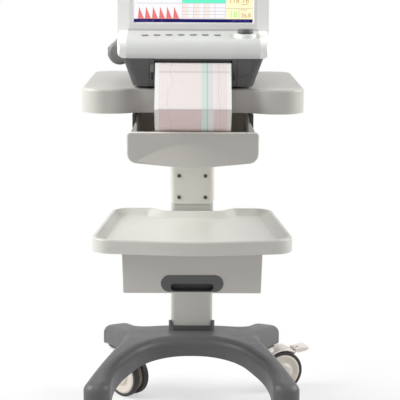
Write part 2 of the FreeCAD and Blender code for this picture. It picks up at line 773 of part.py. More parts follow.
def caster_tyre():
    outer = WHEEL_DIAMETER / 2
    inner = outer - TYRE_THICKNESS
    near = CASTER_WEB / 2 + WHEEL_SIDE_GAP
    far = near + WHEEL_WIDTH
    ring = [(inner, near + TYRE_INNER_LIP, 0), (outer, near, TYRE_SHOULDER), (outer, far, TYRE_SHOULDER),
            (inner, far - TYRE_OUTER_LIP, 0)]
    return Part.makeCompound([turned(ring, wheel_centre(), V(0, side, 0)) for side in (-1, 1)])


def brake_pedal():
    pivot = pedal_pivot()
    half = PEDAL_WIDTH / 2
    ear = PEDAL_EAR_DIAMETER / 2
    root = pivot.x - ear + 1
    tip = pivot.x + PEDAL_LENGTH
    low = pivot.z - ear + 1
    high = pivot.z + ear
    lip = PEDAL_ROUND / 2
    side = [(root, high - lip, 1), (root, low + PEDAL_ROUND, PEDAL_ROUND),
            (pivot.x + PEDAL_ROUND, low, PEDAL_ROUND), (tip, high - PEDAL_THICKNESS, lip), (tip, high, lip)]
    plate = front_prism(side, -half, half)
    neck = half - PEDAL_ROUND
    plan = rounded_outline(
        [(root, -neck, PEDAL_ROUND), (pivot.x + PEDAL_WAIST, -neck, PEDAL_ROUND),
         (tip, -half, 2 * PEDAL_ROUND), (tip, half, 2 * PEDAL_ROUND),
         (pivot.x + PEDAL_WAIST, neck, PEDAL_ROUND), (root, neck, PEDAL_ROUND)])
    pedal = plate.common(prism(plan, low - ear, high + ear))
    half_slot = CASTER_WEB / 2 + SLIDE_GAP
    slot_end = pivot.x + 1.5 * ear
    pedal = pedal.cut(block(root - ear, slot_end, -half_slot, half_slot, low - ear, high + ear))
    inner = 2 * (WHEEL_DIAMETER / 2 + HOOD_GAP)
    pedal = pedal.cut(axial(inner, wheel_centre(), PEDAL_WIDTH))
    pin = axial(PEDAL_PIN_DIAMETER, pivot, CASTER_WEB / 2 + PEDAL_LUG)
    return pedal.fuse(pin).removeSplitter()


def placed_caster(shape, name):
    x, y = caster_places()[name]
    shape = shape.copy()
    shape.rotate(V(0, 0, 0), V(0, 0, 1), CASTER_TURNS[name])
    shape.translate(V(x, y, 0))
    return shape


def caster_kingpins():
    pins = []
    for x, y in caster_places().values():
        shank_foot = V(x, y, fork_top() - KINGPIN_IN_FORK + SLIDE_GAP)
        shank = rod(KINGPIN_DIAMETER, shank_foot, V(x, y, BASE_FOOT + KINGPIN_IN_BASE))
        flange = rod(KINGPIN_FLANGE_DIAMETER, V(x, y, BASE_FOOT - KINGPIN_FLANGE), V(x, y, BASE_FOOT))
        pins.append(shank.fuse(flange))
    return Part.makeCompound(pins)


# Upper shelf: a hollow moulding with two forward wings, closed below by a steel plate
def shelf_outline():
    half = SHELF_WIDTH / 2
    return rounded_outline(mirrored([
        (SHELF_RECESS_HALF, SHELF_FRONT_Y + SHELF_RECESS, SHELF_WAVE),
        (SHELF_WING_START, SHELF_FRONT_Y, SHELF_WAVE),
        (half, SHELF_FRONT_Y, SHELF_CORNER),
        (half, SHELF_REAR_Y, SHELF_REAR_CORNER),
    ]))


def shelf_rib_lines():
    reach_x = SHELF_WIDTH / 2 - SHELF_CORNER
    return [-reach_x, -reach_x / 3, reach_x / 3, reach_x]


def upper_shelf():
    outline = shelf_outline()
    shell = prism(outline, SHELF_BOTTOM, SHELF_TOP)
    top_face = max(shell.Faces, key=lambda face: face.CenterOfMass.z)
    shell = shell.makeFillet(SHELF_EDGE, top_face.OuterWire.Edges)
    hollow = prism(inset(outline, SHELF_SKIN), SHELF_BOTTOM, SHELF_TOP - SHELF_SKIN)
    ribs = []
    half = SHELF_WIDTH / 2
    half_rib = SHELF_RIB / 2
    for x in shelf_rib_lines():
        ribs.append(block(x - half_rib, x + half_rib, SHELF_FRONT_Y, SHELF_REAR_Y, PLATE_TOP, SHELF_TOP))
    for y in (SHELF_FRONT_Y / 2, SHELF_REAR_Y / 2):
        ribs.append(block(-half, half, y - half_rib, y + half_rib, PLATE_TOP, SHELF_TOP))
    hollow = hollow.cut(fuse(ribs))
    return shell.cut(hollow)


def shelf_plate():
    return prism(inset(shelf_outline(), SHELF_SKIN + WALL_GAP), PLATE_BOTTOM, PLATE_TOP)


def sleeve_half_width():
    return COLUMN_WIDTH / 2 + WALL_GAP + SLEEVE_WALL


def shelf_bracket():
    half = sleeve_half_width()
    rear = SLEEVE_FRONT_Y + SLEEVE_DEPTH
    under_plate = PLATE_BOTTOM - FLANGE_THICKNESS
    corner = COLUMN_CORNER + WALL_GAP + SLEEVE_WALL
    outer = rectangle(-half, half, SLEEVE_FRONT_Y, rear + COLUMN_DEPTH, corner)
    sleeve = prism(outer, SLEEVE_BOTTOM, PLATE_BOTTOM)
    sleeve = sleeve.cut(prism(column_outline(WALL_GAP), SLEEVE_BOTTOM, under_plate))
    sleeve = sleeve.cut(block(-half, half, rear, rear + 2 * COLUMN_DEPTH, SLEEVE_BOTTOM, PLATE_BOTTOM))
    shoulder = SLEEVE_BOTTOM + SLEEVE_CHAMFER
    foot = half - SLEEVE_CHAMFER
    trim = front_prism([(-half, shoulder, 0), (-foot, SLEEVE_BOTTOM, 0), (foot, SLEEVE_BOTTOM, 0),
                        (half, shoulder, 0), (half, PLATE_BOTTOM, 0), (-half, PLATE_BOTTOM, 0)],
                       SLEEVE_FRONT_Y, rear)
    flange_half = FLANGE_WIDTH / 2
    flange = prism(rectangle(-flange_half, flange_half, FLANGE_FRONT_Y, FLANGE_REAR_Y, FLANGE_CORNER),
                   under_plate, PLATE_BOTTOM)
    bracket = fuse([sleeve.common(trim), flange])
    hole = SCREW_DIAMETER + 2 * WALL_GAP
    for x, z in screw_places():
        bracket = bracket.cut(rod(hole, V(x, SLEEVE_FRONT_Y, z), V(x, COLUMN_FRONT_Y, z)))
    return bracket


def screw_places():
    half = SCREW_SPACING_X / 2
    return [(x, z) for x in (-half, half) for z in (SCREW_LOW_Z, SCREW_LOW_Z + SCREW_SPACING_Z)]


def bracket_screws():
    screws = []
    for x, z in screw_places():
        head_radius = SCREW_HEAD_DIAMETER / 2
        profile = [(0, 0, 0), (head_radius, 0, 0), (head_radius, SCREW_HEAD, SCREW_HEAD_ROUND),
                   (0, SCREW_HEAD, 0)]
        head = turned(profile, V(x, SLEEVE_FRONT_Y, z), V(0, -1, 0))
        socket_foot = V(x, SLEEVE_FRONT_Y - SCREW_HEAD + SCREW_SOCKET_DEPTH, z)
        socket = rod(SCREW_SOCKET_DIAMETER, V(x, SLEEVE_FRONT_Y - SCREW_HEAD, z), socket_foot)
        shank = rod(SCREW_DIAMETER, V(x, SLEEVE_FRONT_Y, z), V(x, COLUMN_FRONT_Y, z))
        screws.append(head.cut(socket).fuse(shank))
    return Part.makeCompound(screws)


# Paper bin: a tub on two rails under the shelf, with a bowed front and a tilted pull lip
def bin_front_corners(margin):
    top_half = BIN_WIDTH / 2 - margin
    foot_half = top_half - BIN_TAPER
    foot = BIN_CORNER_Z + margin
    top_corner = BIN_TOP_CORNER - margin
    foot_corner = BIN_FOOT_CORNER - margin
    return [(-top_half, BIN_TOP - margin, top_corner), (-foot_half, foot, foot_corner),
            (0, foot - BIN_BOW, BIN_BOW_RADIUS), (foot_half, foot, foot_corner),
            (top_half, BIN_TOP - margin, top_corner)]


def pull_lip():
    """Bowed slab that leaves the front panel along an arc and leans forward towards its foot."""
    half = BIN_WIDTH / 2
    sag = BIN_LIP_RADIUS - math.sqrt(BIN_LIP_RADIUS ** 2 - half ** 2)
    back = sag + 2 * BIN_LIP_REACH
    corners = [V(half, sag, 0), V(half, back, 0), V(-half, back, 0), V(-half, sag, 0)]
    bow = Part.Arc(corners[3], V(0, 0, 0), corners[0]).toShape()
    sides = [Part.LineSegment(corners[i], corners[i + 1]).toShape() for i in range(3)]
    slab = Part.Face(Part.Wire([bow] + sides)).extrude(V(0, 0, -half))
    slab.rotate(V(0, 0, 0), V(1, 0, 0), -BIN_LIP_TILT)
    slab.translate(V(0, BIN_FRONT_Y, BIN_LIP_TOP))
    return slab


def paper_bin():
    panel_back = BIN_FRONT_Y + BIN_FRONT_PANEL
    panel = front_prism(bin_front_corners(0), BIN_FRONT_Y, panel_back)
    panel = panel.makeFillet(BIN_EDGE, front_edges_of(panel, BIN_FRONT_Y))
    lip_corners = bin_front_corners(BIN_EDGE + BIN_LIP_MARGIN)
    lip_place = front_prism(lip_corners, BIN_FRONT_Y - BIN_LIP_REACH, BIN_FRONT_Y + BIN_FRONT_PANEL / 2)
    lip = pull_lip().common(lip_place)
    body = BIN_BODY_HALF
    floor = BIN_CORNER_Z + BIN_WALL
    shoulder = BIN_TOP - BIN_SHOULDER
    slope_end = panel_back + BIN_WALL_SLOPE
    outside = side_prism([(panel_back, BIN_CORNER_Z, 0), (BIN_REAR_Y, BIN_CORNER_Z, BIN_TUB_ROUND),
                          (BIN_REAR_Y, BIN_WALL_TOP, BIN_WALL), (slope_end, BIN_WALL_TOP, BIN_TUB_ROUND),
                          (panel_back + BIN_TUB_ROUND, shoulder, BIN_TUB_ROUND), (panel_back, shoulder, 0)],
                         -body, body)
    inside = side_prism([(panel_back, floor, 0), (BIN_REAR_Y - BIN_WALL, floor, BIN_TUB_ROUND - BIN_WALL),
                         (BIN_REAR_Y - BIN_WALL, SHELF_TOP, 0), (panel_back, SHELF_TOP, 0)],
                        -body + BIN_WALL, body - BIN_WALL)
    tub = outside.cut(inside)
    runner_half = body + RAIL_DEPTH - RAIL_WEB - SLIDE_GAP
    runner = block(body - BIN_WALL / 2, runner_half, slope_end, BIN_REAR_Y - BIN_WALL, RUNNER_Z,
                   RUNNER_Z + RUNNER_HEIGHT)
    gusset_foot = BIN_TOP - 2 * BIN_GUSSET
    gusset_half = body + BIN_GUSSET_REACH
    gusset = front_prism([(body - BIN_WALL, BIN_WALL_TOP - BIN_GUSSET, 1), (body - BIN_WALL, gusset_foot, 0),
                          (gusset_half, gusset_foot, 0), (gusset_half, BIN_TOP + BIN_GUSSET, 2)],
                         panel_back, panel_back + BIN_GUSSET)
    return fuse([panel, lip, tub] + both_sides(runner) + both_sides(gusset))


def bin_rails():
    inner = BIN_BODY_HALF + SLIDE_GAP
    outer = BIN_BODY_HALF + RAIL_DEPTH
    rail = block(inner, outer, RAIL_FRONT_Y, BIN_REAR_Y, RAIL_BOTTOM, PLATE_BOTTOM)
    groove = block(inner, outer - RAIL_WEB, RAIL_FRONT_Y, BIN_REAR_Y, RUNNER_Z - SLIDE_GAP,
                   RUNNER_Z + RUNNER_HEIGHT + SLIDE_GAP)
    under_shelf = SHELF_FRONT_Y + SHELF_RECESS + SHELF_SKIN + SLIDE_GAP
    skirt = block(inner, outer, RAIL_FRONT_Y, under_shelf, SHELF_BOTTOM - SLIDE_GAP, SHELF_TOP)
    rail = rail.cut(groove).cut(skirt)
    foot_low = PLATE_BOTTOM - RAIL_WEB
    foot = block(outer - RAIL_WEB, outer + RAIL_FOOT, under_shelf, BIN_REAR_Y, foot_low, PLATE_BOTTOM)
    return Part.makeCompound(both_sides(rail.fuse(foot)))


def printed_stack():
    floor = BIN_CORNER_Z + BIN_WALL
    front = STRIP_END_Y - STACK_AHEAD
    half = PAPER_WIDTH / 2
    return block(-half, half, front, front + CHART_PACK_LENGTH, floor, floor + STACK_HEIGHT)


# Lower tray: a dished moulding whose rear edge steps round the column
def tray_outline():
    notch = COLUMN_FRONT_Y - TRAY_NOTCH_GAP
    half = [(TRAY_FRONT_HALF, TRAY_CORNER_Y, TRAY_CORNER), (TRAY_REAR_HALF, TRAY_REAR_Y, TRAY_CORNER),
            (TRAY_LOBE_X, TRAY_REAR_Y, TRAY_WAVE), (TRAY_NOTCH_X, notch, TRAY_WAVE)]
    return rounded_outline([(0, TRAY_BOW_Y, TRAY_BOW_RADIUS)] + mirrored(half))


def lower_tray():
    outline = tray_outline()
    solid = prism(outline, TRAY_SKIRT_Z, TRAY_RIM_Z)
    top_face = max(solid.Faces, key=lambda face: face.CenterOfMass.z)
    solid = solid.makeFillet(TRAY_RIM_TOP_WIDTH / 2, top_face.OuterWire.Edges)
    dish = loft(at_height(inset(outline, TRAY_RIM_FOOT_WIDTH), TRAY_FLOOR_Z),
                at_height(inset(outline, TRAY_RIM_TOP_WIDTH), TRAY_RIM_Z))
    dish = dish.makeFillet(TRAY_DISH_ROUND, edges_between(dish, TRAY_FLOOR_Z - 1, TRAY_FLOOR_Z + 1))
    under = prism(inset(outline, TRAY_SKIN), TRAY_SKIRT_Z, TRAY_FLOOR_Z - TRAY_SKIN)
    reach = case_half() + SLIDE_GAP
    passage_front = COLUMN_FRONT_Y - 2 * TRAY_SKIN - TRAY_NOTCH_GAP
    passage = block(-reach, reach, passage_front, COLUMN_FRONT_Y, TRAY_SKIRT_Z, TRAY_FLOOR_Z - TRAY_SKIN)
    return solid.cut(dish).cut(under).cut(passage)


# Storage drawer and the sheet case that carries it and the tray
def case_half():
    return DRAWER_WIDTH / 2 - CASE_INSET


def drawer_case():
    half = case_half()
    front = DRAWER_FRONT_Y + DRAWER_FRONT_PANEL + SLIDE_GAP
    bottom = DRAWER_BOTTOM + CASE_BOTTOM_INSET
    top = TRAY_FLOOR_Z - TRAY_SKIN
    case = block(-half, half, front, COLUMN_FRONT_Y, bottom, top)
    inner = half - CASE_SHEET
    rear = COLUMN_FRONT_Y - CASE_SHEET
    case = case.cut(block(-inner, inner, front, rear, bottom + CASE_SHEET, top - CASE_SHEET))
    window = half - CASE_FLANGE
    window_rear = COLUMN_FRONT_Y - CASE_FLANGE
    return case.cut(block(-window, window, front + CASE_FLANGE, window_rear, top - 2 * CASE_SHEET, top))


def drawer_rails():
    outer = case_half() - CASE_SHEET
    front = DRAWER_FRONT_Y + DRAWER_FRONT_PANEL + RUNWAY_INSET
    rear = COLUMN_FRONT_Y - CASE_SHEET
    rail = block(outer - RUNWAY_DEPTH, outer, front, rear, RUNWAY_Z - RUNWAY_HEIGHT, RUNWAY_Z)
    return Part.makeCompound(both_sides(rail))


def storage_drawer():
    half = case_half() - CASE_SHEET - RUNWAY_DEPTH - SLIDE_GAP
    front = DRAWER_FRONT_Y + DRAWER_FRONT_PANEL
    rear = COLUMN_FRONT_Y - CASE_SHEET - DRAWER_REAR_GAP
    bottom = DRAWER_BOTTOM + CASE_BOTTOM_INSET + CASE_SHEET + DRAWER_FLOOR_GAP
    top = DRAWER_TOP - DRAWER_WALL_DROP
    tub = block(-half, half, front, rear, bottom, top)
    wall = DRAWER_WALL
    tub = tub.cut(block(-half + wall, half - wall, front + wall, rear - wall, bottom + wall, top))
    runner_foot = RUNWAY_Z + SLIDE_GAP
    runner = block(half - wall / 2, half + RUNWAY_DEPTH, front + RUNWAY_INSET, rear, runner_foot,
                   runner_foot + RUNNER_THICKNESS)
    return fuse([tub] + both_sides(runner)).cut(grip_space(GRIP_WALL + WALL_GAP))


def stadium_corners(width, height, z):
    radius = height / 2 - ROUND_END
    return [(-width / 2, z - height / 2, radius), (width / 2, z - height / 2, radius),
            (width / 2, z + height / 2, radius), (-width / 2, z + height / 2, radius)]


def grip_space(grow):
    front = DRAWER_FRONT_Y - HANDLE_PROUD
    corners = stadium_corners(GRIP_WIDTH + 2 * grow, GRIP_HEIGHT + 2 * grow, GRIP_Z)
    return front_prism(corners, front, front + GRIP_DEPTH + grow)


def drawer_front():
    half = DRAWER_WIDTH / 2
    foot = half - DRAWER_TAPER
    panel = front_prism([(-half, DRAWER_TOP, DRAWER_TOP_CORNER), (-foot, DRAWER_BOTTOM, DRAWER_FOOT_CORNER),
                         (foot, DRAWER_BOTTOM, DRAWER_FOOT_CORNER), (half, DRAWER_TOP, DRAWER_TOP_CORNER)],
                        DRAWER_FRONT_Y, DRAWER_FRONT_Y + DRAWER_FRONT_PANEL)
    panel = panel.makeFillet(DRAWER_EDGE, front_edges_of(panel, DRAWER_FRONT_Y))
    return panel.cut(grip_space(GRIP_WALL + WALL_GAP))


def drawer_handle():
    front = DRAWER_FRONT_Y - HANDLE_PROUD
    plate = front_prism(stadium_corners(HANDLE_WIDTH, HANDLE_HEIGHT, HANDLE_Z), front, DRAWER_FRONT_Y)
    plate = plate.makeFillet(HANDLE_EDGE, front_edges_of(plate, front))
    cup = grip_space(GRIP_WALL)
    return plate.fuse(cup).cut(grip_space(0)).removeSplitter()


# Monitor housings
def lower_outline(z, grow):
    """Outline of the lower housing at a height: the sides lean out towards the top."""
    share = (z - LOWER_BOTTOM) / LOWER_HEIGHT
    half = (LOWER_BOTTOM_WIDTH + (LOWER_TOP_WIDTH - LOWER_BOTTOM_WIDTH) * share) / 2 + grow
    wire = rectangle(-half, half, MONITOR_FRONT_Y - grow, MONITOR_REAR_Y + grow, LOWER_CORNER + grow)
    return at_height(wire, z)


def lower_envelope():
    return loft(lower_outline(LOWER_BOTTOM, 0), lower_outline(PARTING, 0))


def recorder_space(gap):
    half = RECORDER_HALF + gap
    return block(-half, half, NOSE_Y, GUIDE_FRONT_Y, RECORDER_FLOOR - SLIDE_GAP, PARTING)


def standoff_places():
    half = BOARD_WIDTH / 2 - STANDOFF_INSET
    rows = (BOARD_FRONT_Y + STANDOFF_INSET, BOARD_REAR_Y - STANDOFF_INSET)
    return [(x, y) for x in (-half, half) for y in rows]


def foot_places():
    half = LOWER_BOTTOM_WIDTH / 2 - FOOT_INSET
    rows = (MONITOR_FRONT_Y + FOOT_INSET, MONITOR_REAR_Y - FOOT_INSET)
    return [(x, y) for x in (-half, half) for y in rows]


def inlet_box(grow):
    half_width = INLET_WIDTH / 2 + grow
    half_height = INLET_HEIGHT / 2 + grow
    front = MONITOR_REAR_Y - INLET_DEPTH
    return block(INLET_X - half_width, INLET_X + half_width, front, MONITOR_REAR_Y + INLET_PROUD,
                 INLET_Z - half_height, INLET_Z + half_height)


def side_groove():
    """Panel line on the right of the front: straight down, then round a corner towards the recorder."""
    outer = rounded_outline([(0, PARTING + GROOVE_X, 0), (GROOVE_X, PARTING + GROOVE_X, 0),
                             (GROOVE_X, PARTING - GROOVE_DROP, GROOVE_CORNER), (0, PARTING - GROOVE_DROP, 0)])
    ring = Part.Face(outer).cut(Part.Face(inset(outer, GROOVE_WIDTH)))
    ring = ring.extrude(V(0, 0, 2 * GROOVE_DEPTH))
    ring.rotate(V(0, 0, 0), V(1, 0, 0), 90)
    ring.translate(V(0, MONITOR_FRONT_Y + GROOVE_DEPTH, 0))
    floor = MONITOR_FRONT_Y + GROOVE_DEPTH
    return ring.common(block(RECORDER_HALF + SLIDE_GAP, GROOVE_X, NOSE_Y, floor, LOWER_BOTTOM, PARTING))


def lower_housing():
    hollow = loft(lower_outline(LOWER_FLOOR, -HOUSING_WALL), lower_outline(PARTING, -HOUSING_WALL))
    shell = lower_envelope()
    for space in (hollow, recorder_space(SLIDE_GAP), side_groove(), inlet_box(WALL_GAP)):
        shell = shell.cut(space)
    posts = [rod(STANDOFF_DIAMETER, V(x, y, LOWER_BOTTOM), V(x, y, LOWER_FLOOR + STANDOFF_HEIGHT))
             for x, y in standoff_places()]
    guide_x = RECORDER_HALF - RECORDER_WALL + SLIDE_GAP
    guide_end = MONITOR_FRONT_Y + RECORDER_DEPTH
    guide_top = LOWER_FLOOR + GUIDE_HEIGHT
    guide = block(guide_x, guide_x + HOUSING_WALL, GUIDE_FRONT_Y, guide_end, LOWER_BOTTOM, guide_top)
    vents = []
    for i in range(VENT_COUNT):
        x = VENT_FIRST_X + i * VENT_PITCH
        vents.append(block(x, x + VENT_WIDTH, MONITOR_REAR_Y - 2 * HOUSING_WALL, MONITOR_REAR_Y,
                           LOWER_BOTTOM + VENT_MARGIN, PARTING - VENT_MARGIN))
    return fuse([shell] + posts + both_sides(guide)).cut(Part.makeCompound(vents))


def monitor_feet():
    feet = []
    for x, y in foot_places():
        radius = FOOT_DIAMETER / 2
        profile = [(0, 0, 0), (radius - 1, 0, 1), (radius, FOOT_HEIGHT, 0), (0, FOOT_HEIGHT, 0)]
        feet.append(turned(profile, V(x, y, SHELF_TOP), V(0, 0, 1)))
    return Part.makeCompound(feet)


def upper_profile(wall):
    """Side profile of the upper housing: nose, sloping key panel, ridge and the deck behind it."""
    ridge_back = RIDGE_Y + DECK_FRONT_GAP - wall
    ridge = PARTING + RIDGE_RISE - wall
    deck = DECK - wall
    rear = MONITOR_REAR_Y - wall
    nose = PARTING + NOSE_RISE - wall
    return [(MONITOR_FRONT_Y + wall, PARTING, 0), (NOSE_Y + wall, nose, NOSE_RADIUS - wall),
            (RIDGE_Y, ridge, RIDGE_ROUND), (ridge_back, ridge - RIDGE_ROUND, RIDGE_ROUND),
            (ridge_back, deck, DECK_ROUND), (rear, deck, DECK_ROUND), (rear, PARTING, 0)]


def upper_plan(wall):
    half = UPPER_WIDTH / 2 - wall
    plan = rectangle(-half, half, NOSE_Y - NOSE_PLAN_LEAD + wall, MONITOR_REAR_Y - wall, UPPER_CORNER - wall)
    return prism(plan, PARTING, PARTING + 2 * RIDGE_RISE)


def upper_section(wall):
    """Front section of the upper housing: its sides curve in to the parting line."""
    half = UPPER_WIDTH / 2 - wall
    foot = PARTING + wall
    top = PARTING + 2 * RIDGE_RISE
    corner = UPPER_FOOT_ROUND - wall
    corners = [(-half, foot, corner), (half, foot, corner), (half, top, 0), (-half, top, 0)]
    return front_prism(corners, NOSE_Y - NOSE_PLAN_LEAD, MONITOR_REAR_Y)


def upper_envelope():
    half = UPPER_WIDTH / 2
    return side_prism(upper_profile(0), -half, half).common(upper_plan(0)).common(upper_section(0))


def panel_point(x, y, above):
    """Point over the sloping key panel, a distance above its face."""
    z = PARTING + NOSE_RISE + (y - NOSE_Y) * math.tan(PANEL_SLOPE)
    return V(x, y, z) + V(0, -math.sin(PANEL_SLOPE), math.cos(PANEL_SLOPE)) * above


def key_places():
    return [KEY_FIRST_X + i * KEY_PITCH for i in range(KEY_COUNT)]


def key_y(x):
    """The row of keys bows forward towards its ends."""
    return KEY_Y - KEY_ARC * (x / KEY_FIRST_X) ** 2


def on_panel(shape, x, y):
    shape.rotate(V(0, 0, 0), V(1, 0, 0), math.degrees(PANEL_SLOPE))
    shape.translate(panel_point(x, y, 0))
    return shape


def key_solid(grow, low, high):
    half_length = KEY_LENGTH / 2 + grow
    half_width = KEY_WIDTH / 2 + grow
    outline = rectangle(-half_length, half_length, -half_width, half_width, half_width - ROUND_END)
    return prism(outline, low, high)


def key(x):
    cap = key_solid(0, -KEY_STEM, KEY_PROUD)
    top_face = max(cap.Faces, key=lambda face: face.CenterOfMass.z)
    cap = cap.makeFillet(KEY_EDGE, top_face.OuterWire.Edges)
    flange_top = -HOUSING_WALL - KEY_FLANGE - SLIDE_GAP
    flange = key_solid(KEY_FLANGE_REACH, flange_top - KEY_FLANGE, flange_top)
    return on_panel(fuse([cap, flange]), x, key_y(x))


def key_board():
    top = -HOUSING_WALL - 2 * KEY_FLANGE - SLIDE_GAP - KEY_TRAVEL - SLIDE_GAP
    left = KEY_FIRST_X - KEY_PITCH
    right = KEY_FIRST_X + KEY_COUNT * KEY_PITCH
    half = KEY_BOARD_WIDTH / 2
    board = block(left, right, -half, half, top - BOARD_THICKNESS, top)
    post_top = -HOUSING_WALL - KEY_POST_GAP
    posts = [block(x, x + KEY_POST, -half, KEY_POST - half, top, post_top) for x in (left, right - KEY_POST)]
    return on_panel(fuse([board] + posts), 0, KEY_Y)


def knuckle(x, radius, half):
    """Hinge knuckle standing on the deck, centred on the hinge line."""
    foot = DECK - HOUSING_WALL / 2
    crown = radius - ROUND_END
    top = HINGE_Z + radius
    profile = [(HINGE_Y - radius, foot, 0), (HINGE_Y + radius, foot, 0), (HINGE_Y + radius, top, crown),
               (HINGE_Y - radius, top, crown)]
    return side_prism(profile, x - half, x + half)


def upper_housing():
    wall = HOUSING_WALL
    half = UPPER_WIDTH / 2 - wall
    hollow = side_prism(upper_profile(wall), -half, half).common(upper_plan(wall)).common(upper_section(wall))
    mouth = prism(inset(lower_outline(PARTING, 0), wall), 0, wall)
    shell = upper_envelope().cut(hollow).cut(mouth)
    bar_half = TEAR_BAR_WIDTH / 2
    bar_back = MONITOR_FRONT_Y + wall
    bar = block(-bar_half, bar_half, MONITOR_FRONT_Y, bar_back, PARTING - TEAR_BAR, PARTING + wall)
    boss_low = panel_point(KNOB_X, KNOB_Y, -wall).z - KNOB_BOSS_DIAMETER / 4
    boss = rod(KNOB_BOSS_DIAMETER, V(KNOB_X, KNOB_Y, boss_low), V(KNOB_X, KNOB_Y, KNOB_BOSS_TOP))
    boss = boss.makeFillet(KNOB_BOSS_ROUND, edges_between(boss, KNOB_BOSS_TOP - 1, KNOB_BOSS_TOP + 1))
    knuckles = []
    for side in (-1, 1):
        knuckles.append(knuckle(side * KNUCKLE_X, KNUCKLE_RADIUS, KNUCKLE_WIDTH / 2))
    shell = fuse([shell, bar, boss] + knuckles)
    for x in key_places():
        shell = shell.cut(on_panel(key_solid(SLIDE_GAP, -2 * wall, KEY_PROUD), x, key_y(x)))
    bore_foot = V(KNOB_X, KNOB_Y, PARTING + wall)
    shell = shell.cut(rod(SPINDLE_DIAMETER + 2 * RUNNING_FIT, bore_foot, V(KNOB_X, KNOB_Y, KNOB_BOSS_TOP)))
    for side in (-1, 1):
        shell = shell.cut(hinge_pin_rod(side, HINGE_PIN_DIAMETER))
    return shell


def hinge_pin_rod(side, diameter):
    middle = V(side * KNUCKLE_X, HINGE_Y, HINGE_Z)
    half = V(KNUCKLE_WIDTH / 2 + HINGE_PIN_REACH, 0, 0)
    return rod(diameter, middle - half, middle + half)


def hinge_pins():
    return Part.makeCompound([hinge_pin_rod(side, HINGE_PIN_DIAMETER) for side in (-1, 1)])


def knob():
    low = KNOB_BOSS_TOP + KNOB_TRAVEL + SLIDE_GAP
    radius = KNOB_DIAMETER / 2
    cap = turned([(0, 0, 0), (radius, 0, KNOB_DISH), (radius - KNOB_TAPER, KNOB_HEIGHT, KNOB_CROWN),
                  (0, KNOB_HEIGHT - KNOB_DISH, 0)], V(KNOB_X, KNOB_Y, low), V(0, 0, 1))
    for i in range(KNOB_FLUTES):
        angle = 2 * math.pi * i / KNOB_FLUTES
        x = KNOB_X + KNOB_FLUTE_CIRCLE / 2 * math.cos(angle)
        y = KNOB_Y + KNOB_FLUTE_CIRCLE / 2 * math.sin(angle)
        cap = cap.cut(rod(KNOB_FLUTE_DIAMETER, V(x, y, low), V(x, y, low + KNOB_HEIGHT)))
    bore_end = V(KNOB_X, KNOB_Y, low + KNOB_HEIGHT / 2 + RUNNING_FIT)
    return cap.cut(rod(SPINDLE_DIAMETER, V(KNOB_X, KNOB_Y, low), bore_end))


def knob_spindle():
    top = KNOB_BOSS_TOP + KNOB_TRAVEL + SLIDE_GAP + KNOB_HEIGHT / 2
    foot = top - SPINDLE_LENGTH
    return rod(SPINDLE_DIAMETER - 2 * RUNNING_FIT, V(KNOB_X, KNOB_Y, foot), V(KNOB_X, KNOB_Y, top))


# Display: modelled folded flat about the hinge line at the origin, then raised
def raised_lid(shape):
    shape.rotate(V(0, 0, 0), V(1, 0, 0), LID_TILT)
    shape.translate(V(0, HINGE_Y, HINGE_Z))
    return shape


def lid_envelope():
    half_thick = LID_THICKNESS / 2
    half = LID_WIDTH / 2
    barrel = half_thick - LID_BARREL_FLAT
    profile = [(-half_thick, -half_thick, barrel), (LID_LENGTH, -LID_TOP_BACK, LID_BACK_ROUND),
               (LID_LENGTH, half_thick, LID_FRONT_ROUND), (-half_thick, half_thick, barrel)]
    plan = rounded_outline([(-half, -half_thick, LID_FRONT_ROUND), (half, -half_thick, LID_FRONT_ROUND),
                            (half, LID_LENGTH, LID_CORNER), (-half, LID_LENGTH, LID_CORNER)])
    return side_prism(profile, -half, half).common(prism(plan, -LID_THICKNESS, LID_THICKNESS))


def lid_split():
    """Space of the front bezel within the lid."""
    half = LID_WIDTH / 2
    return block(-half, half, BEZEL_START, LID_LENGTH, LID_THICKNESS / 2 - BEZEL_DEPTH, LID_THICKNESS)


def lid_hollow():
    half = LID_WIDTH / 2 - 4 * LID_WALL
    front = LID_THICKNESS / 2 - BEZEL_LIP
    back = -LID_TOP_BACK + LID_WALL
    return block(-half, half, BEZEL_START + 2 * LID_WALL, LID_LENGTH - 4 * LID_WALL, back, front)


def window_wire(grow, height):
    half = SCREEN_WIDTH / 2 + grow
    wire = rectangle(-half, half, SCREEN_START - grow, SCREEN_START + SCREEN_HEIGHT + grow, WINDOW_CORNER)
    return at_height(wire, height)


def display_bezel():
    front = LID_THICKNESS / 2
    window = loft(window_wire(0, front - BEZEL_LIP), window_wire(WINDOW_FLARE, front))
    frame = lid_envelope().common(lid_split()).cut(lid_hollow()).cut(window)
    return raised_lid(frame)


def display_back():
    cover = lid_envelope().cut(lid_split()).cut(lid_hollow())
    slot_half = KNUCKLE_WIDTH / 2 + SLIDE_GAP
    reach = KNUCKLE_RADIUS + SLIDE_GAP
    for side in (-1, 1):
        x = side * KNUCKLE_X
        left = x - slot_half
        right = x + slot_half
        behind = block(left, right, -LID_THICKNESS, reach, -LID_THICKNESS, reach)
        below = block(left, right, -LID_THICKNESS, -KNUCKLE_RADIUS / 2, 0, LID_THICKNESS)
        slot = behind.fuse(below)
        half = slot_half + HINGE_PIN_REACH
        pin = rod(HINGE_PIN_DIAMETER + 2 * RUNNING_FIT, V(x - half, 0, 0), V(x + half, 0, 0))
        cover = cover.cut(slot).cut(pin)
    seat = LID_THICKNESS / 2 - BEZEL_LIP - SCREEN_THICKNESS
    posts = []
    for x in (-SCREEN_WIDTH / 3, SCREEN_WIDTH / 3):
        for y in (SCREEN_START + SCREEN_POST_INSET, SCREEN_START + SCREEN_HEIGHT - SCREEN_POST_INSET):
            posts.append(rod(SCREEN_POST_DIAMETER, V(x, y, -LID_TOP_BACK), V(x, y, seat)))
    return raised_lid(fuse([cover] + posts))


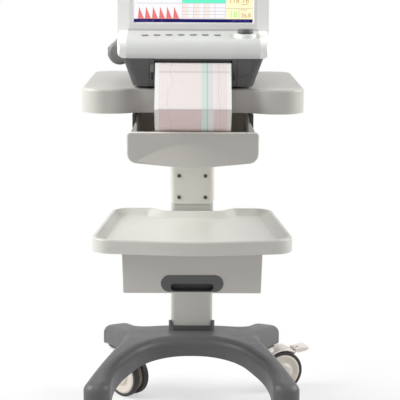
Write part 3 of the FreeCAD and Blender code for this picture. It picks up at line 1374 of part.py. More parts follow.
def screen_panel():
    half = SCREEN_WIDTH / 2 + SCREEN_BORDER
    front = LID_THICKNESS / 2 - BEZEL_LIP
    start = BEZEL_START + 2 * LID_WALL + WALL_GAP
    end = SCREEN_START + SCREEN_HEIGHT + SCREEN_BORDER
    return raised_lid(block(-half, half, start, end, front - SCREEN_THICKNESS, front))


# Recorder: a drawer with the paper pack, the platen roller at its lip and the print head above
def release_centre():
    return V(RELEASE_X, MONITOR_FRONT_Y, PARTING - RELEASE_DROP)


def release_block(grow, front, back):
    at = release_centre()
    return block(at.x - RELEASE_WIDTH / 2 - grow, at.x + RELEASE_WIDTH / 2 + grow, front, back,
                 at.z - RELEASE_HEIGHT / 2 - grow, at.z + RELEASE_HEIGHT / 2 + grow)


def recorder_drawer():
    half = RECORDER_HALF - SLIDE_GAP
    rear = MONITOR_FRONT_Y + RECORDER_DEPTH
    body_half = RECORDER_HALF - RECORDER_WALL - SLIDE_GAP
    panel_back = MONITOR_FRONT_Y + RELEASE_DEPTH + RECORDER_WALL
    panel = block(-half, half, MONITOR_FRONT_Y, GUIDE_FRONT_Y - WALL_GAP, RECORDER_FLOOR, RECORDER_TOP)
    panel = panel.makeFillet(RECORDER_EDGE, front_edges_of(panel, MONITOR_FRONT_Y))
    tub = block(-body_half, body_half, MONITOR_FRONT_Y + RECORDER_EDGE, rear, RECORDER_FLOOR, RECORDER_TOP)
    wall = RECORDER_WALL
    well_half = body_half - wall
    tub = tub.cut(block(-well_half, well_half, panel_back, rear - wall, RECORDER_FLOOR + wall, PARTING))
    cheek = block(TEAR_BAR_WIDTH / 2 + SLIDE_GAP, half, MONITOR_FRONT_Y, GUIDE_FRONT_Y - WALL_GAP,
                  RECORDER_TOP - RECORDER_TOP_DROP, PARTING - SLIDE_GAP)
    drawer = fuse([panel, tub] + both_sides(cheek))
    drawer = drawer.cut(release_block(WALL_GAP, NOSE_Y, MONITOR_FRONT_Y + RELEASE_DEPTH + SLIDE_GAP))
    slot_z = PARTING - LATCH_SLOT_DROP
    half_slot = LATCH_SLOT_WIDTH / 2
    half_tall = LATCH_SLOT_HEIGHT / 2
    slot = block(-RELEASE_X - half_slot, -RELEASE_X + half_slot, NOSE_Y, MONITOR_FRONT_Y + RELEASE_DEPTH,
                 slot_z - half_tall, slot_z + half_tall)
    for cut in both_sides(slot):
        drawer = drawer.cut(cut)
    centre = V(0, PLATEN_Y, PLATEN_Z)
    reach = V(body_half - wall, 0, 0)
    drawer = drawer.cut(rod(PLATEN_DIAMETER + 2, centre - reach, centre + reach))
    reach = V(body_half, 0, 0)
    return drawer.cut(rod(PLATEN_JOURNAL_DIAMETER + 2 * RUNNING_FIT, centre - reach, centre + reach))


def platen_roller():
    centre = V(0, PLATEN_Y, PLATEN_Z)
    roll = V(PAPER_WIDTH / 2 + 1, 0, 0)
    shaft = V(RECORDER_HALF - RECORDER_WALL - SLIDE_GAP - 0.5, 0, 0)
    return rod(PLATEN_DIAMETER, centre - roll, centre + roll).fuse(
        rod(PLATEN_JOURNAL_DIAMETER, centre - shaft, centre + shaft))


def print_head():
    low = PLATEN_Z + PLATEN_DIAMETER / 2 + SHEET_THICKNESS + SLIDE_GAP
    half = PAPER_WIDTH / 2
    top = low + HEAD_HEIGHT
    bar = block(-half, half, PLATEN_Y - HEAD_DEPTH / 3, PLATEN_Y + HEAD_DEPTH, low, top)
    pieces = [bar]
    pitch = PAPER_WIDTH / HEAD_FINS
    for i in range(HEAD_FINS):
        x = -half + (i + 0.5) * pitch
        pieces.append(block(x, x + HEAD_FIN, PLATEN_Y, PLATEN_Y + HEAD_DEPTH, low, top + HEAD_FIN_RISE))
    hanger_y = PLATEN_Y + HEAD_HANGER / 2
    hanger_top = panel_point(0, hanger_y, -HOUSING_WALL).z - HEAD_HANGER_GAP
    for x in (-half, half - HEAD_HANGER):
        pieces.append(block(x, x + HEAD_HANGER, hanger_y, hanger_y + HEAD_HANGER, low, hanger_top))
    return fuse(pieces)


def release_button():
    front = MONITOR_FRONT_Y - RELEASE_PROUD
    button = release_block(0, front, MONITOR_FRONT_Y + RELEASE_DEPTH - RELEASE_TRAVEL)
    return button.makeFillet(RELEASE_EDGE, front_edges_of(button, front))


def chart_pack():
    front = PLATEN_Y + PLATEN_DIAMETER / 2 + CHART_PACK_GAP
    floor = RECORDER_FLOOR + RECORDER_WALL
    half = PAPER_WIDTH / 2
    return block(-half, half, front, front + CHART_PACK_LENGTH, floor, floor + CHART_PACK_HEIGHT)


def chart_strip():
    """Paper from over the platen, out of the slot, forward to a fold and back down into the bin."""
    low = PLATEN_Z + PLATEN_DIAMETER / 2 + SLIDE_GAP / 2
    top = low + SHEET_THICKNESS
    stack_top = BIN_CORNER_Z + BIN_WALL + STACK_HEIGHT + SLIDE_GAP
    lean = math.atan2(STRIP_BEND_Y - STRIP_CREASE_Y, top - STRIP_CREASE_Z)
    across = SHEET_THICKNESS / math.cos(lean)
    inner_bend = STRIP_BEND_Y + across - SHEET_THICKNESS * math.tan(lean)
    profile = [(PLATEN_Y, low, 0), (PLATEN_Y, top, 0), (STRIP_BEND_Y, top, STRIP_BEND + SHEET_THICKNESS),
               (STRIP_CREASE_Y, STRIP_CREASE_Z, 0), (STRIP_END_Y, stack_top, 0),
               (STRIP_END_Y + across, stack_top, 0), (STRIP_CREASE_Y + across, STRIP_CREASE_Z, 0),
               (inner_bend, low, STRIP_BEND)]
    return side_prism(profile, -PAPER_WIDTH / 2, PAPER_WIDTH / 2)


# Side pod with the transducer sockets
def pod_axis_z():
    return PARTING + POD_RISE


def socket_places():
    middle = (POD_FRONT_Y + POD_REAR_Y) / 2
    return [middle + (i - (SOCKET_COUNT - 1) / 2) * SOCKET_PITCH for i in range(SOCKET_COUNT)]


def socket_face_x():
    return -UPPER_WIDTH / 2 - POD_RADIUS - SOCKET_PROUD


def socket_pod():
    z = pod_axis_z()
    x = -UPPER_WIDTH / 2
    profile = [(0, POD_FRONT_Y, 0), (POD_RADIUS, POD_FRONT_Y, POD_ROUND), (POD_RADIUS, POD_REAR_Y, POD_ROUND),
               (0, POD_REAR_Y, 0)]
    pod = turned(profile, V(x, 0, z), V(0, 1, 0))
    pod = pod.cut(upper_envelope()).cut(lower_envelope())
    pod = pod.cut(block(x + POD_RADIUS / 2, 0, POD_FRONT_Y, POD_REAR_Y, z - POD_RADIUS, PARTING))
    for y in socket_places():
        end = V(socket_face_x() + SOCKET_DEPTH, y, z)
        pod = pod.cut(rod(SOCKET_DIAMETER + 2 * RUNNING_FIT, V(socket_face_x(), y, z), end))
    return max(pod.Solids, key=lambda solid: solid.Volume)


def signal_sockets():
    sockets = []
    z = pod_axis_z()
    radius = SOCKET_DIAMETER / 2
    bore = SOCKET_BORE_DIAMETER / 2
    for y in socket_places():
        floor = SOCKET_DEPTH - SOCKET_RECESS
        profile = [(0, 0, 0), (radius, 0, 0), (radius, SOCKET_DEPTH, SOCKET_LIP),
                   (bore, SOCKET_DEPTH, SOCKET_LIP / 2), (bore, floor, 0), (0, floor, 0)]
        sockets.append(turned(profile, V(socket_face_x() + SOCKET_DEPTH, y, z), V(-1, 0, 0)))
    return Part.makeCompound(sockets)


# Boards and power
def main_board():
    low = LOWER_FLOOR + STANDOFF_HEIGHT
    half = BOARD_WIDTH / 2
    pieces = [block(-half, half, BOARD_FRONT_Y, BOARD_REAR_Y, low, low + BOARD_THICKNESS)]
    for x, y, width, depth, height in BOARD_CHIPS:
        pieces.append(block(x, x + width, y, y + depth, low, low + BOARD_THICKNESS + height))
    return fuse(pieces)


def power_module():
    right = LOWER_BOTTOM_WIDTH / 2 - 4 * HOUSING_WALL
    rear = MONITOR_REAR_Y - INLET_DEPTH - SLIDE_GAP
    top = LOWER_FLOOR + POWER_HEIGHT
    module = block(right - POWER_WIDTH, right, rear - POWER_DEPTH, rear, LOWER_FLOOR, top)
    return module.makeFillet(POWER_EDGE, edges_between(module, top - POWER_EDGE, top + POWER_EDGE))


def mains_inlet():
    half_width = INLET_WIDTH / 2 - INLET_SIDE
    half_height = INLET_HEIGHT / 2 - INLET_RIM
    left = INLET_X - half_width
    right = INLET_X + half_width
    low = INLET_Z - half_height
    high = INLET_Z + half_height
    shoulder = high - INLET_CHAMFER
    floor = MONITOR_REAR_Y - INLET_DEPTH + INLET_FLOOR
    outline = [(left, low, 1), (right, low, 1), (right, shoulder, 1), (right - INLET_CHAMFER, high, 1),
               (left + INLET_CHAMFER, high, 1), (left, shoulder, 1)]
    pieces = [inlet_box(0).cut(front_prism(outline, floor, MONITOR_REAR_Y + INLET_PROUD))]
    half_pin = INLET_PIN_WIDTH / 2
    for step, lift in ((-1, -INLET_PIN_STAGGER), (0, INLET_PIN_STAGGER), (1, -INLET_PIN_STAGGER)):
        x = INLET_X + step * INLET_PIN_PITCH
        low_pin = INLET_Z + lift - INLET_PIN_HEIGHT / 2
        pin_end = MONITOR_REAR_Y - INLET_PIN_WIDTH
        pieces.append(block(x - half_pin, x + half_pin, floor - INLET_PROUD, pin_end, low_pin,
                            low_pin + INLET_PIN_HEIGHT))
    return fuse(pieces)


def build():
    pieces = {
        "base_moulding": base_moulding(), "column_collar": column_collar(), "column": column(),
        "column_bolts": column_bolts(), "caster_kingpins": caster_kingpins(),
        "upper_shelf": upper_shelf(), "shelf_plate": shelf_plate(), "shelf_bracket": shelf_bracket(),
        "bracket_screws": bracket_screws(), "bin_rails": bin_rails(), "paper_bin": paper_bin(),
        "printed_stack": printed_stack(), "lower_tray": lower_tray(), "drawer_case": drawer_case(),
        "drawer_rails": drawer_rails(), "storage_drawer": storage_drawer(), "drawer_front": drawer_front(),
        "drawer_handle": drawer_handle(), "lower_housing": lower_housing(), "upper_housing": upper_housing(),
        "monitor_feet": monitor_feet(), "display_bezel": display_bezel(), "display_back": display_back(),
        "screen_panel": screen_panel(), "hinge_pins": hinge_pins(), "key_board": key_board(), "knob": knob(),
        "knob_spindle": knob_spindle(), "recorder_drawer": recorder_drawer(),
        "platen_roller": platen_roller(), "print_head": print_head(), "release_button": release_button(),
        "chart_pack": chart_pack(),
        "chart_strip": chart_strip(), "socket_pod": socket_pod(), "signal_sockets": signal_sockets(),
        "main_board": main_board(), "power_module": power_module(), "mains_inlet": mains_inlet(),
    }
    for i, x in enumerate(key_places()):
        pieces["key_%d" % (i + 1)] = key(x)
    hub = caster_hub()
    tyre = caster_tyre()
    for name in caster_places():
        braked = name in BRAKED
        pieces["caster_fork_" + name] = placed_caster(caster_fork(braked), name)
        pieces["caster_hub_" + name] = placed_caster(hub, name)
        pieces["caster_tyre_" + name] = placed_caster(tyre, name)
        if braked:
            pieces["brake_pedal_" + name] = placed_caster(brake_pedal(), name)
    return pieces


def main():
    os.makedirs("parts", exist_ok=True)
    for name, shape in build().items():
        shape.exportStep("parts/%s.step" % name)


main()
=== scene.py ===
# %% [markdown]
# # A fetal monitor on its trolley
# The trolley, the monitor and all that moves on them come as a frame of solid nodes, already in
# place and in metres. This lesson dresses that frame: it sets up a studio, gives each node its
# finish, and adds the pieces that solids can't show well, such as the folded chart paper, the
# picture on the screen and the small prints beside the keys.

# %% Load the frame
import json
import math

import bpy
from mathutils import Matrix, Vector


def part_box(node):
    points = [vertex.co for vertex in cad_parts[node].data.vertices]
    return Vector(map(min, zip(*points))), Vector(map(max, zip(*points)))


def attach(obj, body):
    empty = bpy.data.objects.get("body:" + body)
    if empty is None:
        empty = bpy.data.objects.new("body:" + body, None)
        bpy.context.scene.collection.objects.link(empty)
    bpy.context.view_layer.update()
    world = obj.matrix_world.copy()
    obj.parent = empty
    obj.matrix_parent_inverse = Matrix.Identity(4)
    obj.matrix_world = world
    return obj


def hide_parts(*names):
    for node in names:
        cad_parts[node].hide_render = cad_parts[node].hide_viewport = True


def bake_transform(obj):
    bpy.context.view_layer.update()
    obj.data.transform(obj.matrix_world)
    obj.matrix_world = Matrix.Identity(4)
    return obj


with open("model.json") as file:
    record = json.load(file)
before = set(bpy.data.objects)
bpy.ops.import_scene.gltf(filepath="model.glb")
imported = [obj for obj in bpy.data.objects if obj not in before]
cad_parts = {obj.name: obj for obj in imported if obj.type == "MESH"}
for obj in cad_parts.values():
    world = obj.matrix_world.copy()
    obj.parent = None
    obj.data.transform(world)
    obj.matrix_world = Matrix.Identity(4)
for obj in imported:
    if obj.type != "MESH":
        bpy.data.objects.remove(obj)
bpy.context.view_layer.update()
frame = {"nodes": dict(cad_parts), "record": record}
nodes = frame["nodes"]

# %% [markdown]
# The photograph was taken from the front, about level with the screen, with a long lens: upright
# edges stay nearly upright. A camera 2.6 m away that looks down by 11 degrees gives the same
# picture. It was held a touch off square, so it also gets a small turn to the side and a small
# roll. Its frame cuts off the top of the screen and the front wheels, as the photograph does.

# %% Camera
CAMERA_PLACE = (-0.006, -2.594, 1.032)
CAMERA_DIP = 11.3
CAMERA_SIDEWAYS = 0.505
CAMERA_ROLL = 0.35
CAMERA_LENS = 108.8
CAMERA_REACH = 200.0

look = Matrix.Rotation(math.radians(-CAMERA_SIDEWAYS), 3, "Z")
look = look @ Matrix.Rotation(math.radians(90 - CAMERA_DIP), 3, "X")
look = look @ Matrix.Rotation(math.radians(CAMERA_ROLL), 3, "Z")
bpy.ops.object.select_all(action="DESELECT")
bpy.ops.object.camera_add(location=CAMERA_PLACE, rotation=look.to_euler())
camera = bpy.context.object
camera.data.lens = CAMERA_LENS
camera.data.clip_end = CAMERA_REACH
bpy.context.scene.camera = camera
bpy.context.scene.view_settings.view_transform = "Standard"
print("camera", tuple(camera.location), "lens", camera.data.lens)

# %% [markdown]
# Shader sums read best as Python expressions. This small class holds one output socket of a
# finish. Adding, multiplying or comparing it makes a Math node, and the method `node` adds any
# other node: its settings first, then the values or links of its sockets.

# %% A socket that can be used in sums
class Tone:
    def __init__(self, tree, socket):
        self.tree = tree
        self.socket = socket

    def feed(self, socket, value):
        if isinstance(value, Tone):
            self.tree.links.new(value.socket, socket)
        else:
            socket.default_value = value

    def node(self, kind, settings, sockets, output=0):
        made = self.tree.nodes.new(kind)
        for name, value in settings.items():
            setattr(made, name, value)
        for name, value in sockets.items():
            self.feed(made.inputs[name], value)
        return Tone(self.tree, made.outputs[output])

    def math(self, operation, first, second=0.0):
        return self.node("ShaderNodeMath", {"operation": operation}, {0: first, 1: second})

    def __add__(self, other):
        return self.math("ADD", self, other)

    def __sub__(self, other):
        return self.math("SUBTRACT", self, other)

    def __rsub__(self, other):
        return self.math("SUBTRACT", other, self)

    def __mul__(self, other):
        return self.math("MULTIPLY", self, other)

    def __truediv__(self, other):
        return self.math("DIVIDE", self, other)

    def __lt__(self, other):
        return self.math("LESS_THAN", self, other)

    def __gt__(self, other):
        return self.math("GREATER_THAN", self, other)

    def __mod__(self, other):
        return self.math("FLOORED_MODULO", self, other)

    def __abs__(self):
        return self.math("ABSOLUTE", self)

    __radd__ = __add__
    __rmul__ = __mul__

    def axes(self):
        """The three parts of a vector."""
        parts = self.tree.nodes.new("ShaderNodeSeparateXYZ")
        self.feed(parts.inputs[0], self)
        return [Tone(self.tree, socket) for socket in parts.outputs]

    def noise(self, scale, detail=2.0):
        return self.node("ShaderNodeTexNoise", {}, {"Vector": self, "Scale": scale, "Detail": detail})

    def ramp(self, low, high):
        """0 below low and 1 above high, with a straight slope between."""
        limits = {"From Min": low, "From Max": high}
        return self.node("ShaderNodeMapRange", {"clamp": True}, {"Value": self, **limits})

    def between(self, low, high):
        return (self > low) * (self < high)

    def mix(self, first, second):
        """First colour where this is 0, second where it is 1."""
        return self.node("ShaderNodeMix", {"data_type": "RGBA"}, {0: self, 6: first, 7: second}, 2)


def tint(red, green, blue):
    """A colour as a picture editor shows it, 0 to 255, turned into the light that Blender uses."""
    linear = []
    for value in (red, green, blue):
        share = value / 255
        linear.append(share / 12.92 if share <= 0.04045 else ((share + 0.055) / 1.055) ** 2.4)
    return (*linear, 1.0)


def scaled(colour, factor):
    return (*[min(1.0, part * factor) for part in colour[:3]], 1.0)


print("grey 128 is", tint(128, 128, 128))

# %% [markdown]
# Every finish starts the same way: a material with one Principled shader, and the place on the
# object to draw patterns by. The object's own coordinates are in metres, so a noise of scale 900
# has grains of about a millimetre.

# %% Start of a finish
finishes = {}


def start_finish(name):
    material = bpy.data.materials.new(name)
    material.use_nodes = True
    tree = material.node_tree
    surface = tree.nodes["Principled BSDF"]
    place = Tone(tree, tree.nodes.new("ShaderNodeTexCoord").outputs["Object"])
    finishes[name] = material
    return surface, place


def set_surface(surface, place, **values):
    """Sets sockets by name, with _ for a space: Base_Color, Roughness, Normal."""
    for name, value in values.items():
        place.feed(surface.inputs[name.replace("_", " ")], value)


def bump(place, height, strength, distance):
    return place.node("ShaderNodeBump", {}, {"Height": height, "Strength": strength, "Distance": distance})


print("finishes can be made")

# %% [markdown]
# Moulded plastic is never one flat colour. The tool leaves a fine spark-eroded grain, the colour
# drifts a little over a large part, and hands leave faint smooth patches. Three noises give that:
# a coarse one for the drift, a fine one for the grain's bump, and a middle one for the patches.
# The tray is smoother than the rest of the trolley, and a shade paler: painted light for the tray's lit
# floor.

# %% Moulded plastics
CLOUD_SCALE = 7.0
PATCH_SCALE = 38.0
CLOUD_SHARE = 0.7
PATCH_ROUGHNESS = 0.16
GRAIN_DEPTH = 0.0004


def moulded(name, colour, rough, grain, grain_scale=1500.0, drift=0.05, colour_mask=None):
    surface, place = start_finish(name)
    cloud = place.noise(CLOUD_SCALE, 3.0)
    patch = place.noise(PATCH_SCALE, 2.0)
    speck = place.noise(grain_scale, 1.0)
    shade = cloud * CLOUD_SHARE + speck * (1 - CLOUD_SHARE)
    body = shade.mix(scaled(colour, 1 - drift), scaled(colour, 1 + drift))
    if colour_mask:
        body = colour_mask(place, body)
    set_surface(surface, place, Base_Color=body,
                Roughness=patch * PATCH_ROUGHNESS + (rough - PATCH_ROUGHNESS / 2),
                Normal=bump(place, speck, grain, GRAIN_DEPTH))


TROLLEY_GREY = tint(192, 189, 183)
moulded("trolley_grey", TROLLEY_GREY, 0.42, 0.10)
# Painted light: the tray's tone is a shade paler than the trolley's grey.
moulded("tray_grey", tint(199, 198, 192), 0.38, 0.08)
moulded("column_grey", tint(198, 197, 191), 0.36, 0.05, 2400.0)
moulded("sleeve_grey", tint(222, 221, 214), 0.36, 0.05, 2400.0)
moulded("pod_grey", tint(118, 118, 116), 0.45, 0.10)
moulded("wheel_beige", tint(214, 206, 195), 0.40, 0.06)
moulded("fork_cream", tint(234, 227, 219), 0.40, 0.06)
moulded("key_dark", tint(88, 90, 92), 0.45, 0.08)
moulded("key_grey", tint(118, 119, 120), 0.45, 0.08)
moulded("foot_rubber", tint(60, 60, 60), 0.75, 0.20, 900.0)
moulded("roller_rubber", tint(46, 46, 47), 0.70, 0.20, 1100.0)
moulded("rail_black", tint(34, 35, 36), 0.48, 0.06)
print("plastics", sorted(finishes))

# %% [markdown]
# The bin for the printed paper is moulded in the trolley's grey. Its inside is painted paler as
# painted light for the shade under the shelf, which also throws more light about in it, and the top
# of its front rim gets a painted highlight. Masks on the object's three coordinates pick those faces out.

# %% Paper bin
BIN_FRONT_TOP = 0.697
BIN_RIM = 0.0026
# Painted light: the pale colour of the bin's inside and of the top of its front rim.
BIN_PAINTED_LIGHT = tint(246, 243, 236)
BIN_INSIDE_FRONT = -0.2345
BIN_INSIDE_REAR = 0.038
BIN_INSIDE_HALF = 0.1122
BIN_FLOOR_Z = 0.638


# Painted light: a paler inside for the shade under the shelf, and a painted highlight along the front rim.
def painted_light_inside(place, body):
    across, depth, height = place.axes()
    rim = height.ramp(BIN_FRONT_TOP - BIN_RIM, BIN_FRONT_TOP - BIN_RIM / 2)
    rim = rim * (depth < BIN_INSIDE_FRONT)
    inside = depth.between(BIN_INSIDE_FRONT, BIN_INSIDE_REAR) * (height > BIN_FLOOR_Z)
    inside = inside * (abs(across) < BIN_INSIDE_HALF)
    return place.math("MAXIMUM", rim, inside).mix(body, BIN_PAINTED_LIGHT)


moulded("bin_grey", TROLLEY_GREY, 0.42, 0.10, colour_mask=painted_light_inside)
print("bin front is", 1000 * BIN_FRONT_TOP, "mm up")

# %% [markdown]
# The shells of the monitor are two-coloured: a silver-grey panel carries the keys and frames the
# screen, and the shell round it is white. A mask on the width of the object, soft over two
# millimetres, puts the join where the photograph shows it. It only applies to the front, so the
# back of the shell stays white all over. The raised ring round the dial is white too, and a mask
# on the distance from the dial keeps it so. Half way down the apron the silver is painted lighter,
# between two soft masks on the height: a painted highlight on the curve of the nose. The bar that
# the paper is torn off against hangs below the shell's parting line and is dark, which one more such
# mask gives: partly the bar's own dark colour, partly painted shade of the slot over the paper.

# %% Monitor shells
PANEL_HALF = 0.1315
PANEL_BACK_Y = -0.088
BEZEL_HALF = 0.129
DIAL = (0.104, -0.160)
DIAL_RING_RADIUS = 0.0222
DIAL_RING_SOFT = 0.0004
TEAR_BAR_TOP = 0.8378
TEAR_BAR_SOFT = 0.0004
APRON_LOW = (0.840, 0.851)
APRON_HIGH = (0.8735, 0.861)
APRON_LIFT = 0.9
JOIN = 0.002
SHELL_WHITE = tint(248, 249, 246)
SILVERS = (tint(205, 207, 204), tint(211, 213, 210))
APRON_PAINTED_HIGHLIGHT = tint(240, 241, 238)
TEAR_BAR_AND_SLOT_SHADE = tint(62, 56, 57)


def silver_panel(place, body):
    across, depth, height = place.axes()
    inside = abs(across).ramp(PANEL_HALF + JOIN, PANEL_HALF)
    front = depth.ramp(PANEL_BACK_Y + JOIN, PANEL_BACK_Y)
    dial_x = across - DIAL[0]
    dial_y = depth - DIAL[1]
    from_dial = place.math("SQRT", dial_x * dial_x + dial_y * dial_y)
    off_dial = from_dial.ramp(DIAL_RING_RADIUS, DIAL_RING_RADIUS + DIAL_RING_SOFT)
    silver = place.noise(12.0, 2.0).mix(*SILVERS)
    # Painted highlight: the silver is painted lighter half way down the apron.
    apron = height.ramp(*APRON_LOW) * height.ramp(*APRON_HIGH) * APRON_LIFT
    silver = apron.mix(silver, APRON_PAINTED_HIGHLIGHT)
    shell = (inside * front * off_dial).mix(body, silver)
    # Dark below the parting line: partly the tear bar's own colour, partly painted shade of the slot.
    tear_bar_and_shade = height.ramp(TEAR_BAR_TOP, TEAR_BAR_TOP - TEAR_BAR_SOFT)
    return tear_bar_and_shade.mix(shell, TEAR_BAR_AND_SLOT_SHADE)


def white_sides(place, body):
    across = place.axes()[0]
    return abs(across).ramp(BEZEL_HALF, BEZEL_HALF + JOIN).mix(body, SHELL_WHITE)


moulded("housing_white", SHELL_WHITE, 0.34, 0.05, 1800.0, 0.02, silver_panel)
moulded("bezel_grey", tint(232, 232, 230), 0.36, 0.05, 1800.0, 0.02, white_sides)
print("panel is", 2000 * PANEL_HALF, "mm wide")

# %% [markdown]
# The dark lower shell of the monitor and the trolley's base are through-coloured grey plastic
# with a coarser grain. The base is kicked and wheeled against door frames, so its low outer
# edges carry pale scuffs: a stretched noise, cut to thin streaks, that fades out with height.

# %% Dark plastics and the base
SCUFF_TOP = 0.165
SCUFF_FOOT = 0.115
SCUFF_STRETCH = (30.0, 30.0, 160.0)
SCUFF_STRENGTH = 0.5
SCUFF_GREY = tint(158, 158, 156)


def scuffed(place, body):
    low = place.axes()[2].ramp(SCUFF_TOP, SCUFF_FOOT)
    stretch = place.node("ShaderNodeMapping", {}, {"Vector": place, "Scale": SCUFF_STRETCH})
    streak = stretch.noise(1.0, 4.0).ramp(0.60, 0.68)
    rub = place.noise(24.0, 2.0).ramp(0.45, 0.62)
    return (low * streak * rub * SCUFF_STRENGTH).mix(body, SCUFF_GREY)


moulded("base_grey", tint(82, 82, 83), 0.46, 0.16, 1100.0, 0.04, scuffed)
moulded("housing_dark", tint(76, 76, 76), 0.48, 0.16, 1300.0)
print("dark finishes", "base_grey", "housing_dark")

# %% [markdown]
# Bright metal shows on the kingpins and the hinge pins. Turned steel has fine rings; at this
# size a stretched noise in the roughness is enough, with a darker tone in the deeper scratches.
# The four screws on the sleeve are blackened, so they get a darker and duller steel. The boards
# inside are green with paler tracks. The tyres are dusty, and the glass is faintly smeared.

# %% Steel, tyres, boards and glass
SCRATCH_STRETCH = (900.0, 900.0, 60.0)
TRACK_PITCH = 0.004
TRACK_SHARE = 0.22
STEELS = {"steel": (tint(150, 150, 152), tint(196, 196, 198), 0.22),
          "blackened_steel": (tint(72, 72, 74), tint(98, 98, 100), 0.40)}
for steel_name, (deep, bright, rough) in STEELS.items():
    surface, place = start_finish(steel_name)
    stretch = place.node("ShaderNodeMapping", {}, {"Vector": place, "Scale": SCRATCH_STRETCH})
    scratch = stretch.noise(1.0, 3.0)
    set_surface(surface, place, Base_Color=scratch.mix(deep, bright), Metallic=1.0,
                Roughness=scratch * 0.22 + rough)

surface, place = start_finish("tyre_black")
dust = place.noise(60.0, 4.0).ramp(0.48, 0.72)
grit = place.noise(1600.0, 1.0)
set_surface(surface, place, Base_Color=(dust * 0.5).mix(tint(48, 44, 43), tint(92, 86, 82)),
            Roughness=dust * 0.2 + 0.6, Normal=bump(place, grit, 0.2, 0.0005))

surface, place = start_finish("board_green")
across = place.axes()[0]
track = ((across / TRACK_PITCH) % 1.0 < TRACK_SHARE) * (place.noise(45.0, 1.0) > 0.5)
set_surface(surface, place, Base_Color=track.mix(tint(24, 74, 48), tint(60, 122, 78)),
            Roughness=track * 0.1 + 0.35)

surface, place = start_finish("screen_glass")
smear = place.noise(30.0, 3.0)
set_surface(surface, place, Base_Color=smear.mix(tint(20, 21, 24), tint(27, 28, 31)),
            Roughness=smear * 0.1 + 0.08)
print("finishes", len(finishes))

# %% [markdown]
# Chart paper is 150 mm wide. Printed along it are two fields of fine pink ruling, a green band
# between them with one dark line, and plain white margins. A heavier grey line crosses it at each
# fold of the pack. The leaf below the crease is painted darker and pinker, as painted shade where
# it slants back under the shelf.
# All of it is worked out from the paper's own map, so it follows the sheet round its folds: U runs
# across, 0 to 1, and V along, counted in paper widths.

# %% Chart paper
PAPER_WIDTH = 0.150
RULING = 1 / 30
RULE_WIDTH = 0.004
LEFT_FIELD = (0.055, 0.612)
GREEN_BAND = (0.612, 0.689)
GREY_BAND = (0.689, 0.765)
RIGHT_FIELD = (0.775, 0.945)
BAND_STRENGTH = 0.75
BAND_LINE = (0.007, 0.003)
FOLD_EVERY = 0.572
FOLD_LINE_AT = 0.237
FOLD_LINE = (0.022, 0.010)
FOLD_LINE_ENDS = (0.05, 0.98)
CREASE_AT = FOLD_LINE_AT + FOLD_EVERY
CREASE_SOFT = 0.01


def fine_line(count, pitch, width):
    """1 on thin lines that repeat at a pitch, fading out to both sides."""
    share = (count / pitch) % 1.0
    return abs(share - 0.5).ramp(0.5 - width / pitch, 0.5)


surface, place = start_finish("paper")
across, along = place.node("ShaderNodeUVMap", {"uv_map": "paper"}, {}).axes()[:2]
fields = across.between(*LEFT_FIELD) + across.between(*RIGHT_FIELD)
ruling = place.math("MAXIMUM", fine_line(across, RULING, RULE_WIDTH), fine_line(along, RULING, RULE_WIDTH))
fibre = place.noise(420.0, 3.0)
blush = place.noise(26.0, 2.0)
# Painted shade: the leaf below the crease is darker and pinker.
under = along.ramp(CREASE_AT - CREASE_SOFT, CREASE_AT + CREASE_SOFT)
field_tint = under.mix(tint(249, 234, 232), tint(226, 204, 201))
rule_tint = under.mix(tint(232, 200, 198), tint(206, 176, 174))
leaf = blush.mix(tint(247, 247, 244), tint(250, 250, 248))
leaf = under.mix(leaf, tint(226, 220, 216))
leaf = (fields * (blush * 0.4 + 0.3 + under * 0.3)).mix(leaf, field_tint)
leaf = (fields * ruling * 0.5).mix(leaf, rule_tint)
leaf = (across.between(*GREEN_BAND) * BAND_STRENGTH).mix(leaf, tint(208, 230, 222))
leaf = (across.between(*GREY_BAND) * BAND_STRENGTH).mix(leaf, tint(222, 227, 227))
leaf = (abs(across - GREEN_BAND[1]).ramp(*BAND_LINE) * 0.6).mix(leaf, tint(150, 172, 174))
from_fold = abs((along - FOLD_LINE_AT + FOLD_EVERY / 2) % FOLD_EVERY - FOLD_EVERY / 2)
fold_line = from_fold.ramp(*FOLD_LINE) * across.between(*FOLD_LINE_ENDS)
leaf = (fold_line * 0.35).mix(leaf, tint(186, 184, 182))
print("ruled every", round(1000 * PAPER_WIDTH * RULING, 2), "mm")

# %% [markdown]
# The recorder has drawn two faint traces, one in each field. A noise that changes only along the
# paper gives each pen its wandering place across it, and the line is what lies close to that place.

# %% Traces on the paper
PEN_WIDTH = 0.007
PEN_CORE = 0.002
PEN_STRENGTH = 0.22
HEART_EDGE = 0.03
HEART_SWING = 0.34
SQUEEZE_EDGE = 0.74
SQUEEZE_SWING = 0.22

wander = place.node("ShaderNodeCombineXYZ", {}, {"X": along, "Y": 0.3, "Z": 0.0})
heart = wander.noise(2.6, 4.0) * HEART_SWING + HEART_EDGE
squeeze = wander.noise(1.4, 2.0) * SQUEEZE_SWING + SQUEEZE_EDGE
pen = abs(across - heart).ramp(PEN_WIDTH, PEN_CORE) + abs(across - squeeze).ramp(PEN_WIDTH, PEN_CORE)
leaf = (pen * PEN_STRENGTH).mix(leaf, tint(150, 140, 140))
set_surface(surface, place, Base_Color=leaf, Roughness=fibre * 0.1 + 0.75,
            Normal=bump(place, fibre, 0.05, 0.0003))
print("paper", 1000 * PAPER_WIDTH, "mm wide")

# %% [markdown]
# The frame's record says which finish each node takes, and a few nodes get a closer one here. A
# node keeps its shape and gets the finish in its first material slot. The nodes' meshes are loose
# triangles that carry their own normals, so nothing else is touched.

